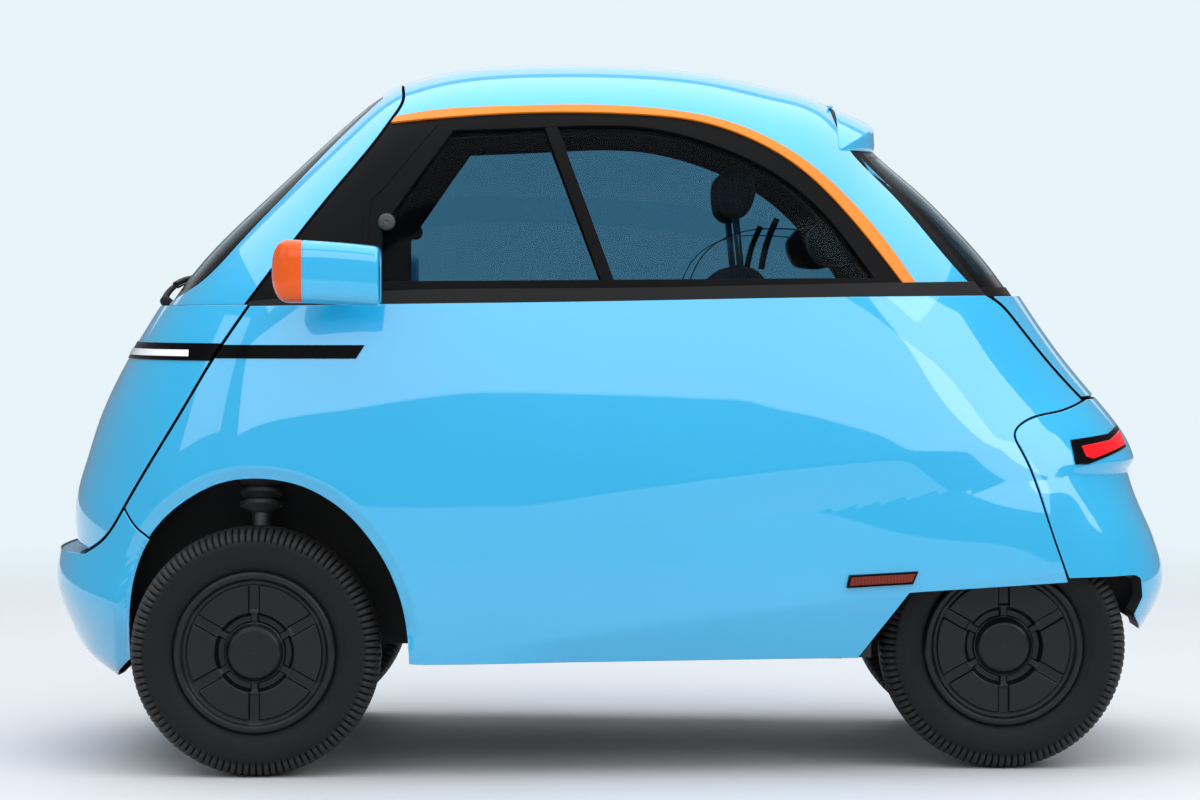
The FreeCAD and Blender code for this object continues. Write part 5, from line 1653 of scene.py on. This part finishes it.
class MICROCAR_OT_cabin(bpy.types.Operator):
    """Seats, headrests, belts, dashboard and steering wheel"""

    bl_idname = "microcar.cabin"
    bl_label = "Cabin"

    def execute(self, context):
        cloth, trim = look("seat_cloth"), look("black_trim")
        base = [(-256, 504), (-256, 596), (-232, 614), (-60, 600), (140, 632), (196, 624), (214, 590),
                (200, 544), (172, 504)]
        back = [(-344, 612), (-268, 600), (-206, 646), (-218, 800), (-240, 1036), (-262, 1088),
                (-314, 1104), (-356, 1088), (-360, 1036), (-346, 800)]
        rest = [(-259, 1296), (-292, 1310), (-328, 1304), (-339, 1247), (-324, 1207), (-291, 1188),
                (-261, 1213)]
        for name, outline, span, soft, voxel, cap, channels, node in (
                ("seat_base", base, (16, 512), 5.0, 6.0, 14.0,
                 ((1, 130, 5, 7), (1, 398, 5, 7), (0, -20, 5, 6)), "seat_cushion"),
                ("seat_rest", back, (16, 512), 5.0, 6.0, 14.0,
                 ((1, 130, 5, 7), (1, 398, 5, 7), (2, 900, 5, 6)), "seat_back"),
                ("head_pad", rest, (154, 366), 4.0, 5.0, 7.0, ((1, 260, 4, 3),), "headrests")):
            left = soft_form(name + "_left", bolster(outline, *span, soft), voxel, cap, channels, cloth)
            for obj in (left, twin(left, name + "_right")):
                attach(obj, "chassis")
                smooth = obj.modifiers.new("smooth", "SUBSURF")
                smooth.levels = smooth.render_levels = 1
            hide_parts(node)
        reel = bolster([(-446, 1118), (-440, 1152), (-466, 1184), (-522, 1192), (-560, 1212), (-592, 1188),
                        (-588, 1104), (-520, 1086), (-464, 1090)], 400, 530, 8.0, 6, 30, 90)
        reel[..., 1] = np.minimum(reel[..., 1], half_at(reel[..., 0], reel[..., 2], 50.0))
        for side in (1, -1):
            word = "left" if side > 0 else "right"
            webbing = [(-500, side * 452, 1158), (-380, side * 448, 1168), (-300, side * 444, 1160),
                       (-228, side * 442, 1120), (-186, side * 446, 1040), (-170, side * 456, 900),
                       (-176, side * 470, 720), (-190, side * 490, 640)]
            hard = {
                "belt_" + word: closed_tube(strap(webbing, 46.0, 2.4), flip=True),
                "belt_cover_" + word: closed_tube(reel * [1, side, 1], flip=side < 0),
                "post_in_" + word: tube([(-309, side * 210, 1068), (-296, side * 210, 1200)], 6.0),
                "post_out_" + word: tube([(-309, side * 310, 1068), (-296, side * 310, 1200)], 6.0),
                "guide_" + word: tube(smooth_path([(-346, side * 440, 1080), (-358, side * 438, 1136),
                                                   (-380, side * 435, 1190)], 16), 7.0)}
            for name, mesh in hard.items():
                slot = "aluminium" if "post" in name else "black_trim"
                plain(name, mesh, "chassis", look(slot),
                      ["belt_reels"] if name == "belt_cover_left" else ())
        top = [(702, 802), (592, 817), (560, 860), (570, 903), (640, 922), (718, 914), (742, 860)]
        body = [closed_tube(bolster(top, -428, 428, 12.0, 5, 60, 120))]
        leg = [(642, 292), (688, 292), (688, 836), (642, 836)]
        body += [closed_tube(bolster(leg, y - 24, y + 24, 9.0, 3, 24, 80)) for y in (-330, 330)]
        for i, mesh in enumerate(body):
            plain("fascia_%d" % i, mesh, "chassis", trim, ["dashboard"][i:])
        middle = np.array(HAND_WHEEL)
        tilt = math.radians(COLUMN_TILT)
        axis = np.array([-math.cos(tilt), 0.0, math.sin(tilt)])
        across = np.array([0.0, 1.0, 0.0])
        down = np.cross(across, axis)
        turn = around(96)[:, None]
        rim = middle + HAND_RIM * (across * np.cos(turn) + down * np.sin(turn))
        hub = [(0.01, 6), (30, 5), (46, 0), (52, -8), (52, -30), (44, -42), (12, -42), (10.4, -40),
               (10.4, -12), (0.01, -12)]
        wheel = [tube(rim, 13.0, 20, closed=True), revolve(hub, 48, middle, axis)]
        for way in (across, -across, down if down[2] < 0 else -down):
            bar = np.linspace(0, 1, 12)[:, None]
            path = middle - axis * 20.0 * (1 - bar) ** 2 + way * (34 + 126 * bar)
            wheel.append(tube(path, 11.0 - 3.0 * bar[:, 0], 16))
        for i, mesh in enumerate(wheel):
            plain("hand_rim_%d" % i, mesh, "hand_wheel", trim, ["steering_wheel"][i:])
        knuckles = [(m + d, body, half) for m in (-HINGE_Y, HINGE_Y)
                    for d, body, half in ((-37.5, "chassis", 6.5), (0, "gate", 30), (37.5, "chassis", 6.5))]
        for i, (y, body, half) in enumerate(knuckles):
            pin = [(HINGE_X, y - half, HINGE_Z), (HINGE_X, y + half, HINGE_Z)]
            plain("hinge_knuckle_%d" % i, tube(pin, 4.0, 20), body, look("blue_paint"))
        return {"FINISHED"}


class MICROCAR_OT_wheels(bpy.types.Operator):
    """Tyres and wheel covers"""

    bl_idname = "microcar.wheels"
    bl_label = "Wheels"

    def execute(self, context):
        for place in ("front", "rear"):
            for word, side in (("left", 1), ("right", -1)):
                at = "%s_%s" % (place, word)
                mesh, shade = tyre(place, side)
                obj = plain("tread_" + at, mesh, "roll_" + at, look("tyre"), ["tyre_" + at])
                values = obj.data.attributes.new("tread", "FLOAT", "POINT").data
                values.foreach_set("value", shade.ravel())
                plain("cover_" + at, cover(place, side), "roll_" + at, look("wheel_black"),
                      ["wheel_" + at])
        return {"FINISHED"}


class MICROCAR_OT_finishes(bpy.types.Operator):
    """Materials of the carried-over nodes"""

    bl_idname = "microcar.finishes"
    bl_label = "Finishes"

    def execute(self, context):
        for part in frame["record"]["subparts"]:
            obj = frame["nodes"].get(part["node"]) if "node" in part else None
            if obj is not None:
                obj.data.materials.clear()
                obj.data.materials.append(look(part["material_slot"]))
        return {"FINISHED"}


class MICROCAR_PT_panel(bpy.types.Panel):
    """Sidebar panel with the pieces and their settings"""

    bl_label = "Microcar"
    bl_idname = "MICROCAR_PT_panel"
    bl_space_type = "VIEW_3D"
    bl_region_type = "UI"
    bl_category = "Microcar"

    def draw(self, context):
        for key in MicrocarSettings.__annotations__:
            self.layout.prop(settings(), key)
        for operator in OPERATORS:
            self.layout.operator(operator.bl_idname)


OPERATORS = (
    MICROCAR_OT_stage, MICROCAR_OT_finishes, MICROCAR_OT_sides, MICROCAR_OT_front,
    MICROCAR_OT_cabin_shell, MICROCAR_OT_rear, MICROCAR_OT_lamps, MICROCAR_OT_pods, MICROCAR_OT_trim,
    MICROCAR_OT_cabin, MICROCAR_OT_wheels,
)
CLASSES = (MicrocarSettings, *OPERATORS, MICROCAR_PT_panel)


def register():
    for cls in CLASSES:
        bpy.utils.register_class(cls)
    bpy.types.Scene.microcar = PointerProperty(type=MicrocarSettings)


def unregister():
    del bpy.types.Scene.microcar
    for cls in reversed(CLASSES):
        bpy.utils.unregister_class(cls)


def main():
    register()
    for operator in OPERATORS:
        getattr(bpy.ops.microcar, operator.bl_idname.split(".")[1])()


if __name__ == "__main__":
    main()
